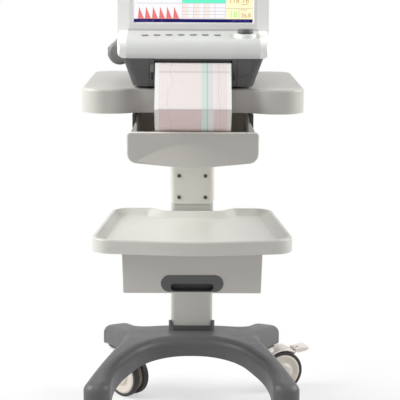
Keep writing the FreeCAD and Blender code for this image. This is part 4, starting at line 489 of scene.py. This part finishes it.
# %% Dress the nodes
OTHER_FINISH = {
    "shelf_bracket": "sleeve_grey", "bracket_screws": "blackened_steel", "release_button": "pod_grey",
    # The print head is dark, as such heads are, and also serves as painted shade in the slot over the
    # paper.
    "print_head": "rail_black", "paper_bin": "bin_grey", "lower_tray": "tray_grey",
}
for node_name in nodes:
    if node_name.startswith("key_") and node_name != "key_board":
        OTHER_FINISH[node_name] = "key_grey"
    if node_name.startswith(("caster_fork", "brake_pedal")):
        OTHER_FINISH[node_name] = "fork_cream"
dressed = {}
for part in frame["record"]["subparts"]:
    node = nodes[part["node"]]
    slot_name = OTHER_FINISH.get(part["node"], part["material_slot"])
    node.data.materials.clear()
    node.data.materials.append(finishes[slot_name])
    dressed.setdefault(slot_name, []).append(part["node"])
print("dressed", {slot_name: len(names) for slot_name, names in dressed.items()})

# %% [markdown]
# The chart paper leaves the recorder over its roller, runs forward out of the slot, folds back
# on an old crease and drops behind the front of the bin. Solids can only show that as a plate,
# so it is made again here as a thin sheet. One edge of a plane is kept and drawn along the route
# by extruding it, as one would by hand, and a Solidify modifier gives it the thickness of paper.
# The strip is three pieces: the upper one goes with the recorder, and the middle and lowest ones
# stay where they are made, attached to no body.

# %% A ribbon of paper along a route
SHEET_THICKNESS = 0.0003
SMOOTH_BELOW = math.radians(40)


def select_points(piece, wanted):
    """Selects the points of a mesh for which wanted(place) is true."""
    bpy.ops.object.mode_set(mode="EDIT")
    bpy.ops.mesh.select_mode(type="VERT")
    bpy.ops.mesh.select_all(action="DESELECT")
    bpy.ops.object.mode_set(mode="OBJECT")
    for point in piece.data.vertices:
        point.select = wanted(point.co)
    bpy.ops.object.mode_set(mode="EDIT")


def apply_modifier(piece, kind, **settings):
    modifier = piece.modifiers.new(kind.lower(), kind)
    for name, value in settings.items():
        setattr(modifier, name, value)
    bpy.ops.object.modifier_apply(modifier=modifier.name)


def paper_ribbon(name, route, along=0.0):
    """A strip of paper through (Y, Z) points. Along is how far down the paper its first edge is."""
    first_y, first_z = route[0]
    bpy.ops.object.select_all(action="DESELECT")
    bpy.ops.mesh.primitive_plane_add(size=PAPER_WIDTH, location=(0, first_y + PAPER_WIDTH / 2, first_z))
    ribbon = bpy.context.object
    ribbon.name = name
    bpy.ops.object.transform_apply(location=True, rotation=True, scale=True)
    select_points(ribbon, lambda point: point.y > first_y + PAPER_WIDTH / 2)
    bpy.ops.mesh.delete(type="VERT")
    bpy.ops.mesh.select_all(action="SELECT")
    rings = [(first_y, first_z, along)]
    for (y, z), (next_y, next_z) in zip(route, route[1:]):
        bpy.ops.mesh.extrude_region_move(TRANSFORM_OT_translate={"value": (0, next_y - y, next_z - z)})
        along += math.hypot(next_y - y, next_z - z)
        rings.append((next_y, next_z, along))
    bpy.ops.object.mode_set(mode="OBJECT")
    for layer in list(ribbon.data.uv_layers):
        ribbon.data.uv_layers.remove(layer)
    paper_map = ribbon.data.uv_layers.new(name="paper")
    for loop in ribbon.data.loops:
        point = ribbon.data.vertices[loop.vertex_index].co
        ring = min(rings, key=lambda ring: math.hypot(point.y - ring[0], point.z - ring[1]))
        paper_map.data[loop.index].uv = (point.x / PAPER_WIDTH + 0.5, ring[2] / PAPER_WIDTH)
    apply_modifier(ribbon, "SOLIDIFY", thickness=SHEET_THICKNESS, offset=0.0)
    bpy.ops.object.shade_smooth_by_angle(angle=SMOOTH_BELOW)
    ribbon.data.materials.append(finishes["paper"])
    return ribbon, along


def straight(start, end, count, belly=0.0):
    """Points from start up to end, with a slight belly to the front."""
    points = []
    for i in range(count):
        share = i / count
        y = start[0] + (end[0] - start[0]) * share - belly * math.sin(math.pi * share)
        points.append((y, start[1] + (end[1] - start[1]) * share))
    return points


print("ribbons are", 1000 * SHEET_THICKNESS, "mm thick")

# %% [markdown]
# The route is a few places on the real path: the roller, the bend at the edge of the slot, the
# crease, the mouth of the bin and the stack that the paper lands on. Straight runs between them
# get a slight belly. The lower two pieces have their place baked into their meshes and stay where they are
# made.

# %% The strip from the slot to the bin
ROLLER = (-0.185, 0.82905)
BEND = (-0.2015, 0.8275)
CREASE = (-0.2657, 0.745)
MOUTH = (-0.2325, 0.700)
LANDING = (-0.198, 0.6538)
OVER_THE_EDGE = [(-0.1935, 0.82905), (-0.1975, 0.8288), (-0.1998, 0.8283)]
ON_THE_STACK = [(-0.1955, 0.6532), (-0.190, 0.6529), (-0.150, 0.6529)]
BELLY = 0.0008

upper_route = [ROLLER, *OVER_THE_EDGE, *straight(BEND, CREASE, 10, BELLY), CREASE]
upper_strip, length = paper_ribbon("chart_strip_upper", upper_route)
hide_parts("chart_strip")
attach(upper_strip, "recorder")

middle_route = [*straight(CREASE, MOUTH, 8), MOUTH]
middle_strip, length_below = paper_ribbon("chart_strip_middle", middle_route, length)
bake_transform(middle_strip)

lower_route = [*straight(MOUTH, LANDING, 8, BELLY), LANDING, *ON_THE_STACK]
lower_strip, length_end = paper_ribbon("chart_strip_lower", lower_route, length_below)
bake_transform(lower_strip)
print("strip", round(length_end, 3), "m long")

# %% [markdown]
# Below, the printed paper lies in the bin as it fell: a loose zigzag of leaves. A fresh pack lies
# folded in the recorder. Both are one long ribbon that turns round at each fold. The folds of the
# fallen paper don't line up, so each reaches out a little further or less than the one below.

# %% Folded paper
FOLD_END_GAP = 0.001
FALLEN_STRAY = 0.006
STRAY_STEP = 2.4


def folded_route(front, rear, low, high, leaves, stray):
    """A zigzag of leaves from low to high, with round folds at the front and the rear."""
    pitch = (high - low) / leaves
    ends = [(rear, -1), (front, 1)]
    points = [(front, low + pitch / 2)]
    for leaf in range(leaves):
        z = low + pitch * (leaf + 0.5)
        end, inwards = ends[leaf % 2]
        end += inwards * stray * (1 + math.sin(STRAY_STEP * leaf)) / 2
        points.append((end + inwards * pitch, z))
        if leaf < leaves - 1:
            points += [(end + inwards * pitch * 0.3, z + pitch * 0.15), (end, z + pitch * 0.5),
                       (end + inwards * pitch * 0.3, z + pitch * 0.85), (end + inwards * pitch, z + pitch)]
    return points


PACKS = {
    "printed_stack": {"piece": "fallen_paper", "body": "bin", "in": "paper_bin",
                      "leaves": 9, "stray": FALLEN_STRAY},
    "chart_pack": {"piece": "fresh_paper", "body": "recorder", "in": "recorder_drawer",
                   "leaves": 12, "stray": 0.0},
}
for node_name, pack in PACKS.items():
    low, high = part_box(node_name)
    route = folded_route(low[1] + FOLD_END_GAP, high[1] - FOLD_END_GAP, low[2], high[2],
                         pack["leaves"], pack["stray"])
    folded, pack_length = paper_ribbon(pack["piece"], route)
    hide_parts(node_name)
    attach(folded, pack["body"])
    print(pack["piece"], pack["leaves"], "leaves", round(pack_length, 2), "m")

# %% [markdown]
# The screen shows a white field with a row of red peaks, a table under a green heading, a pale
# yellow column of readings and a navy bar along its foot. The photograph cuts the screen off just
# above these, so the rest is filled with the plain traces that such a screen has. The picture is
# a flat sheet just in front of the glass. Its finish glows and is drawn on the sheet's own map,
# from rectangles and lines, so that no image is needed. The drawing is 246 units wide, which is
# near enough a unit to a millimetre.

# %% What the screen shows
SCREEN_WIDTH = 0.242
SCREEN_HEIGHT = 0.1815
ACROSS = 246.0
UP = 184.5
UNIT = SCREEN_WIDTH / ACROSS
WHITE = tint(250, 250, 252)
LINE_GREY = tint(206, 203, 212)
GRID_GREY = tint(226, 226, 232)
GRID_PITCH = 8.0
FIELD_RIGHT = 190.0
FIELD_ROWS = (39.0, 62.0, 94.0, 126.0)
TRACE_ENDS = (8.0, 184.0)
TRACE_LINE = (0.9, 0.4)
TOP_BAR_FOOT = 177.0

surface, place = start_finish("screen_picture")
share_across, share_up = place.node("ShaderNodeUVMap", {"uv_map": "picture"}, {}).axes()[:2]
right = share_across * ACROSS
up = share_up * UP


def patch(picture, left_edge, right_edge, low_edge, high_edge, colour, strength=1.0):
    """Paints a rectangle, given in drawing units from the lower left corner of the screen."""
    inside = right.between(left_edge, right_edge) * up.between(low_edge, high_edge)
    return (inside * strength).mix(picture, colour)


def trace(picture, middle, swing, scale, seed, colour):
    """Paints a wandering line across the upper left field."""
    path = place.node("ShaderNodeCombineXYZ", {}, {"X": right * 0.01, "Y": seed, "Z": 0.0})
    height = (path.noise(scale, 5.0) - 0.5) * swing + middle
    on_line = abs(up - height).ramp(*TRACE_LINE) * right.between(*TRACE_ENDS)
    return on_line.mix(picture, colour)


grid = place.math("MAXIMUM", fine_line(right, GRID_PITCH, 0.5), fine_line(up, GRID_PITCH, 0.5))
on_grid = up.between(FIELD_ROWS[1], TOP_BAR_FOOT - 1) * (right < FIELD_RIGHT)
picture = (grid * on_grid).mix(WHITE, GRID_GREY)
picture = trace(picture, 146.0, 30.0, 5.0, 0.2, tint(40, 150, 80))
picture = trace(picture, 108.0, 26.0, 6.0, 3.7, tint(60, 80, 190))
picture = trace(picture, 76.0, 20.0, 3.0, 8.1, tint(196, 84, 92))
for row in FIELD_ROWS:
    picture = patch(picture, 5.0, FIELD_RIGHT, row - 0.5, row + 0.5, LINE_GREY)
print("field painted")

# %% [markdown]
# The peaks repeat, so one saw tooth is drawn and repeated with a remainder: it rises in two
# units and falls over ten.

# %% Peaks
FIRST_PEAK = 10.4
PEAK_PITCH = 14.6
PEAK_COUNT = 6
PEAK_BASE = 7.4
PEAK_HEIGHT = 24.5
PEAK_RISE = 2.2
PEAK_FALL = 10.2

since_peak = (right - FIRST_PEAK) % PEAK_PITCH
fall = since_peak.ramp(PEAK_FALL, 0.0)
rise = since_peak.ramp(PEAK_PITCH - PEAK_RISE, PEAK_PITCH)
tooth = place.math("MAXIMUM", fall, rise) * PEAK_HEIGHT + PEAK_BASE
last_peak = FIRST_PEAK + PEAK_PITCH * (PEAK_COUNT - 1)
row_of_peaks = right.between(FIRST_PEAK - PEAK_RISE, last_peak + PEAK_FALL)
picture = (row_of_peaks * (up < tooth)).mix(picture, tint(238, 124, 122))
picture = patch(picture, 7.0, 97.5, 7.2, 8.2, tint(236, 150, 150))
print("peaks", PEAK_COUNT, "at a pitch of", PEAK_PITCH, "units")

# %% [markdown]
# The table has a heading, three tinted columns and thin rules. The column of readings is ruled
# into boxes, with short marks where the names of the readings would be, and the bars along the
# foot and the top close the picture. Each is a rectangle painted over what is there already.

# %% Table, readings and bars
TABLE_LEFT = 99.6
TABLE_RIGHT = 190.4
TABLE_TOP = 38.5
HEADING_TOP = 61.5
TABLE_ROWS = (8.5, 16.2, 22.8, 29.9)
TABLE_RULES = (100.4, 123.4, 145.4, 168.0, 189.8)
TINTED_COLUMNS = (101.0, 124.0, 146.0)
TINTED_WIDTH = 12.0
READINGS_LEFT = 191.4
READING_ROWS = (28.6, 62.0, 100.0, 138.0)
READING_MARKS = ((222.0, 236.0, 36.6), (221.0, 234.0, 25.2))
MARK_HEIGHT = 1.6
FOOT_BAR_TOP = 6.8
FOOT_MARK_PITCH = 3.4
FOOT_MARK_BAND = (2.4, 4.4)
FOOT_MARKS_LEFT = (6.0, 66.0)
FOOT_MARKS_RIGHT = (196.0, 240.0)
BAR_NAVY = tint(6, 4, 96)
PEACH = tint(250, 232, 216)

picture = patch(picture, TABLE_LEFT, TABLE_RIGHT, FOOT_BAR_TOP, TABLE_TOP, WHITE)
picture = patch(picture, TABLE_LEFT, TABLE_RIGHT, TABLE_TOP + 1, HEADING_TOP, tint(112, 248, 206))
for column in TINTED_COLUMNS:
    picture = patch(picture, column, column + TINTED_WIDTH, TABLE_ROWS[0], TABLE_TOP, PEACH, 0.65)
for row in TABLE_ROWS:
    picture = patch(picture, TABLE_LEFT, TABLE_RIGHT, row - 0.5, row + 0.5, LINE_GREY)
for column in TABLE_RULES:
    picture = patch(picture, column - 0.5, column + 0.5, 7.0, 39.0, tint(226, 192, 198), 0.8)

picture = patch(picture, READINGS_LEFT, ACROSS, FOOT_BAR_TOP, UP, tint(255, 251, 208))
for row in READING_ROWS:
    picture = patch(picture, READINGS_LEFT, ACROSS, row - 0.4, row + 0.4, tint(196, 180, 132))
picture = patch(picture, 217.2, 218.0, FOOT_BAR_TOP, READING_ROWS[0], tint(214, 196, 150))
for left_edge, right_edge, foot in READING_MARKS:
    picture = patch(picture, left_edge, right_edge, foot, foot + MARK_HEIGHT, tint(232, 190, 128))
picture = patch(picture, 0.0, ACROSS, 0.0, FOOT_BAR_TOP, BAR_NAVY)
picture = patch(picture, 0.0, ACROSS, TOP_BAR_FOOT, UP, BAR_NAVY)
marks = fine_line(right, FOOT_MARK_PITCH, 1.0) * (place.noise(160.0, 2.0) > 0.5)
marks = marks * up.between(*FOOT_MARK_BAND)
marks = marks * (right.between(*FOOT_MARKS_LEFT) + right.between(*FOOT_MARKS_RIGHT)) * 0.7
picture = marks.mix(picture, tint(150, 132, 206))
set_surface(surface, place, Base_Color=tint(10, 10, 11), Roughness=0.22, Specular_IOR_Level=0.15,
            Emission_Color=picture, Emission_Strength=1.0)
print("table", len(TABLE_ROWS), "rows,", len(TABLE_RULES) - 1, "columns")

# %% [markdown]
# The sheet itself starts as a plane. Its face is inset and raised a little, as the active area of
# a panel stands in its frame. It is built lying flat, with its lower left corner at the origin,
# and then tilted onto the lid with one matrix, which also places the numbers.

# %% Picture sheet
HINGE = (0.0, -0.095, 0.8805)
LID_TILT = 85.0
SCREEN_FOOT = 0.0227
GLASS_FACE = 0.0111
PICTURE_INSET = 0.0008
PICTURE_RAISE = 0.0002
on_lid = Matrix.Translation(HINGE) @ Matrix.Rotation(math.radians(LID_TILT), 4, "X")
on_lid = on_lid @ Matrix.Translation((-SCREEN_WIDTH / 2, SCREEN_FOOT, GLASS_FACE))

bpy.ops.object.select_all(action="DESELECT")
bpy.ops.mesh.primitive_plane_add(size=1.0, location=(SCREEN_WIDTH / 2, SCREEN_HEIGHT / 2, 0))
sheet = bpy.context.object
sheet.name = "screen_picture"
sheet.scale = (SCREEN_WIDTH, SCREEN_HEIGHT, 1.0)
bpy.ops.object.transform_apply(location=True, rotation=True, scale=True)
bpy.ops.object.mode_set(mode="EDIT")
bpy.ops.mesh.select_all(action="SELECT")
bpy.ops.mesh.inset(thickness=PICTURE_INSET)
bpy.ops.transform.translate(value=(0, 0, PICTURE_RAISE))
bpy.ops.object.mode_set(mode="OBJECT")
sheet.data.uv_layers[0].name = "picture"
for loop in sheet.data.loops:
    point = sheet.data.vertices[loop.vertex_index].co
    sheet.data.uv_layers[0].data[loop.index].uv = (point.x / SCREEN_WIDTH, point.y / SCREEN_HEIGHT)
sheet.data.transform(on_lid)
sheet.data.materials.append(finishes["screen_picture"])
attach(sheet, "display")
print("picture", [round(v, 4) for v in sheet.bound_box[0]])

# %% [markdown]
# The readings are plain numbers. Each is a text object, made a mesh while it still lies at the
# origin and then set on the lid. Numbers of one colour are joined to one piece.

# %% Numbers on the screen
NUMBER_LIFT = 0.0004
NUMBER_DEPTH = 0.00005
DIGIT_SHARE = 0.7
NUMBERS = {
    "numbers_brown": (tint(196, 150, 92), [("118", 196.0, 40.4, 10.5), ("76", 223.5, 40.4, 10.5)]),
    "numbers_green": (tint(160, 236, 124), [("18", 197.5, 11.0, 12.0), ("142", 198.0, 148.0, 22.0)]),
    "numbers_orange": (tint(196, 148, 104), [("36.8", 221.5, 10.6, 8.6)]),
    "numbers_blue": (tint(84, 104, 206), [("136", 198.0, 110.0, 22.0)]),
    "numbers_red": (tint(214, 96, 100), [("20", 204.0, 72.0, 22.0)]),
}
for name, (colour, readings) in NUMBERS.items():
    surface, place = start_finish(name)
    dots = place.noise(900.0, 1.0)
    set_surface(surface, place, Base_Color=scaled(colour, 0.2), Roughness=0.3,
                Emission_Color=dots.mix(scaled(colour, 0.92), scaled(colour, 1.08)), Emission_Strength=1.0)
    made = []
    for body, left_edge, foot, tall in readings:
        bpy.ops.object.select_all(action="DESELECT")
        bpy.ops.object.text_add()
        number = bpy.context.object
        number.data.body = body
        number.data.size = tall * UNIT / DIGIT_SHARE
        number.data.extrude = NUMBER_DEPTH
        bpy.ops.object.convert(target="MESH")
        number = bpy.context.object
        spot = Matrix.Translation((left_edge * UNIT, foot * UNIT, NUMBER_LIFT))
        number.data.transform(on_lid @ spot)
        made.append(number)
    bpy.ops.object.select_all(action="DESELECT")
    for number in made:
        number.select_set(True)
    bpy.context.view_layer.objects.active = made[0]
    if len(made) > 1:
        bpy.ops.object.join()
    made[0].name = name
    made[0].data.materials.clear()
    made[0].data.materials.append(finishes[name])
    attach(made[0], "display")
print("numbers", sorted(NUMBERS))

# %% [markdown]
# Under each key a short raised dash is printed on the panel. One dash is modelled from a cube,
# flattened and with its edges bevelled, then copied to each key. The row of keys bows a little, and
# the panel slopes, so each copy is set on that slope.

# %% Dashes under the keys
KEY_COUNT = 7
KEY_FIRST_X = -0.0967
KEY_PITCH = 0.0242
KEY_ROW_Y = -0.154
KEY_BOW = 0.0055
NOSE = (-0.205, 0.871)
PANEL_SLOPE = 17 / 83
DASH = (0.0062, 0.0011, 0.0004)
DASH_BEVEL = 0.00015
DASH_BELOW = 0.0088


def on_panel(x, y, above):
    """A matrix that sets a piece on the sloping panel of keys."""
    spot = Vector((x, y, NOSE[1] + (y - NOSE[0]) * PANEL_SLOPE + above))
    return Matrix.Translation(spot) @ Matrix.Rotation(math.atan(PANEL_SLOPE), 4, "X")


bpy.ops.object.select_all(action="DESELECT")
bpy.ops.mesh.primitive_cube_add(size=1.0)
dash = bpy.context.object
dash.scale = DASH
bpy.ops.object.transform_apply(location=True, rotation=True, scale=True)
bpy.ops.object.mode_set(mode="EDIT")
bpy.ops.mesh.select_all(action="SELECT")
bpy.ops.mesh.bevel(offset=DASH_BEVEL, segments=2)
bpy.ops.object.mode_set(mode="OBJECT")
dashes = [dash]
for i in range(1, KEY_COUNT):
    copy = dash.copy()
    copy.data = dash.data.copy()
    bpy.context.collection.objects.link(copy)
    dashes.append(copy)
for i, copy in enumerate(dashes):
    x = KEY_FIRST_X + KEY_PITCH * i
    y = KEY_ROW_Y - KEY_BOW * (x / KEY_FIRST_X) ** 2 - DASH_BELOW
    copy.data.transform(on_panel(x, y, 0.0))
    copy.select_set(True)
bpy.context.view_layer.objects.active = dash
bpy.ops.object.join()
dash.name = "key_dashes"
moulded("dash_print", tint(150, 151, 150), 0.5, 0.05)
dash.data.materials.append(finishes["dash_print"])
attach(dash, "trolley")
print("dashes", len(dashes))

# %% [markdown]
# A small lamp sits beside the dial. Its lens is a low dome: a sphere is cut in half, flattened and
# set on the slope of the panel. It is off in the photograph, so it gets a milky finish that does
# not glow.

# %% Lamp beside the dial
LAMP_PLACE = (0.076, -0.156)
LAMP_RADIUS = 0.0018
LAMP_DOME = 0.45

bpy.ops.object.select_all(action="DESELECT")
bpy.ops.mesh.primitive_uv_sphere_add(segments=24, ring_count=12, radius=LAMP_RADIUS)
lens = bpy.context.object
lens.name = "status_lamp"
bpy.ops.object.mode_set(mode="EDIT")
bpy.ops.mesh.select_all(action="SELECT")
bpy.ops.mesh.bisect(plane_co=(0, 0, 0), plane_no=(0, 0, 1), use_fill=True, clear_inner=True)
bpy.ops.mesh.select_all(action="SELECT")
bpy.ops.transform.resize(value=(1.0, 1.0, LAMP_DOME))
bpy.ops.object.mode_set(mode="OBJECT")
bpy.ops.object.shade_smooth_by_angle(angle=SMOOTH_BELOW)
lens.data.transform(on_panel(*LAMP_PLACE, 0.0))
surface, place = start_finish("lamp_lens")
murk = place.noise(700.0, 2.0)
set_surface(surface, place, Base_Color=murk.mix(tint(168, 172, 168), tint(190, 196, 188)),
            Roughness=murk * 0.1 + 0.15)
lens.data.materials.append(finishes["lamp_lens"])
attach(lens, "trolley")
print("lamp at", LAMP_PLACE)

# %% [markdown]
# The studio is a pale floor, a broad soft box on either side and a weak lamp in front. In the
# photograph the tray is lit right in under the shelf, and all tops and ends are lighter than the
# fronts, so the light has to come from the sides, not from overhead. The floor is seen as white:
# rays from the camera, and rays seen in gloss or through glass, add a glow to it, while the light
# that it throws back on the trolley stays that of a plain pale floor.

# %% Floor and world
FLOOR_SIZE = 120.0
FLOOR_GLOW = 0.55
GLOW_NEAR = 0.30
GLOW_FAR = 0.85
WORLD_LIGHT = 0.29

bpy.ops.object.select_all(action="DESELECT")
bpy.ops.mesh.primitive_plane_add(size=FLOOR_SIZE)
floor = bpy.context.object
floor.name = "studio_floor"


def seen_directly(tone):
    """1 for rays from the camera and for rays seen in gloss or through glass."""
    path = tone.tree.nodes.new("ShaderNodeLightPath")
    rays = [Tone(tone.tree, path.outputs[name]) for name in
            ("Is Camera Ray", "Is Glossy Ray", "Is Transmission Ray")]
    return tone.math("MINIMUM", rays[0] + rays[1] + rays[2], 1.0)


surface, place = start_finish("studio_floor")
pale = place.noise(3.0, 2.0).mix(tint(234, 234, 234), tint(238, 238, 238))
set_surface(surface, place, Base_Color=pale, Roughness=0.9)
glow = place.node("ShaderNodeEmission", {}, {"Color": (1, 1, 1, 1), "Strength": 1.0})
plain = Tone(place.tree, surface.outputs[0])
from_middle = place.node("ShaderNodeVectorMath", {"operation": "LENGTH"}, {0: place}, 1)
far = from_middle.ramp(GLOW_NEAR, GLOW_FAR)
share = seen_directly(place) * (far * (1 - FLOOR_GLOW) + FLOOR_GLOW)
both = place.node("ShaderNodeMixShader", {}, {0: share, 1: plain, 2: glow})
place.feed(place.tree.nodes["Material Output"].inputs["Surface"], both)
floor.data.materials.append(finishes["studio_floor"])

world = bpy.data.worlds.new("studio_world")
bpy.context.scene.world = world
world.use_nodes = True
background = world.node_tree.nodes["Background"]
background.inputs["Color"].default_value = (1, 1, 1, 1)
background.inputs["Strength"].default_value = WORLD_LIGHT
sky = Tone(world.node_tree, background.outputs[0])
white = sky.node("ShaderNodeBackground", {}, {"Color": (1, 1, 1, 1), "Strength": 1.0})
seen = sky.node("ShaderNodeMixShader", {}, {0: seen_directly(sky), 1: sky, 2: white})
sky.feed(world.node_tree.nodes["World Output"].inputs["Surface"], seen)
print("floor", FLOOR_SIZE, "m, world light", WORLD_LIGHT)

# %% [markdown]
# Soft boxes are area lamps. Each is turned to face the middle of the trolley, and its power is kept
# low enough for the white shell to keep its shading.

# %% Lamps
LAMPS = {
    "left_box": {"place": (-1.95, -0.35, 1.95), "aim": (0.0, -0.05, 0.55), "size": 1.5, "power": 72.0},
    "right_box": {"place": (2.1, 0.1, 1.7), "aim": (0.0, -0.05, 0.55), "size": 1.5, "power": 50.0},
    "front_fill": {"place": (-0.8, -3.2, 0.9), "aim": (0.0, 0.0, 0.5), "size": 1.2, "power": 3.0},
}
for name, lamp in LAMPS.items():
    direction = Vector(lamp["aim"]) - Vector(lamp["place"])
    turn = direction.to_track_quat("-Z", "Y").to_euler()
    bpy.ops.object.light_add(type="AREA", location=lamp["place"], rotation=turn)
    light = bpy.context.object
    light.name = name
    light.data.size = lamp["size"]
    light.data.energy = lamp["power"]
print("lamps", sorted(LAMPS))
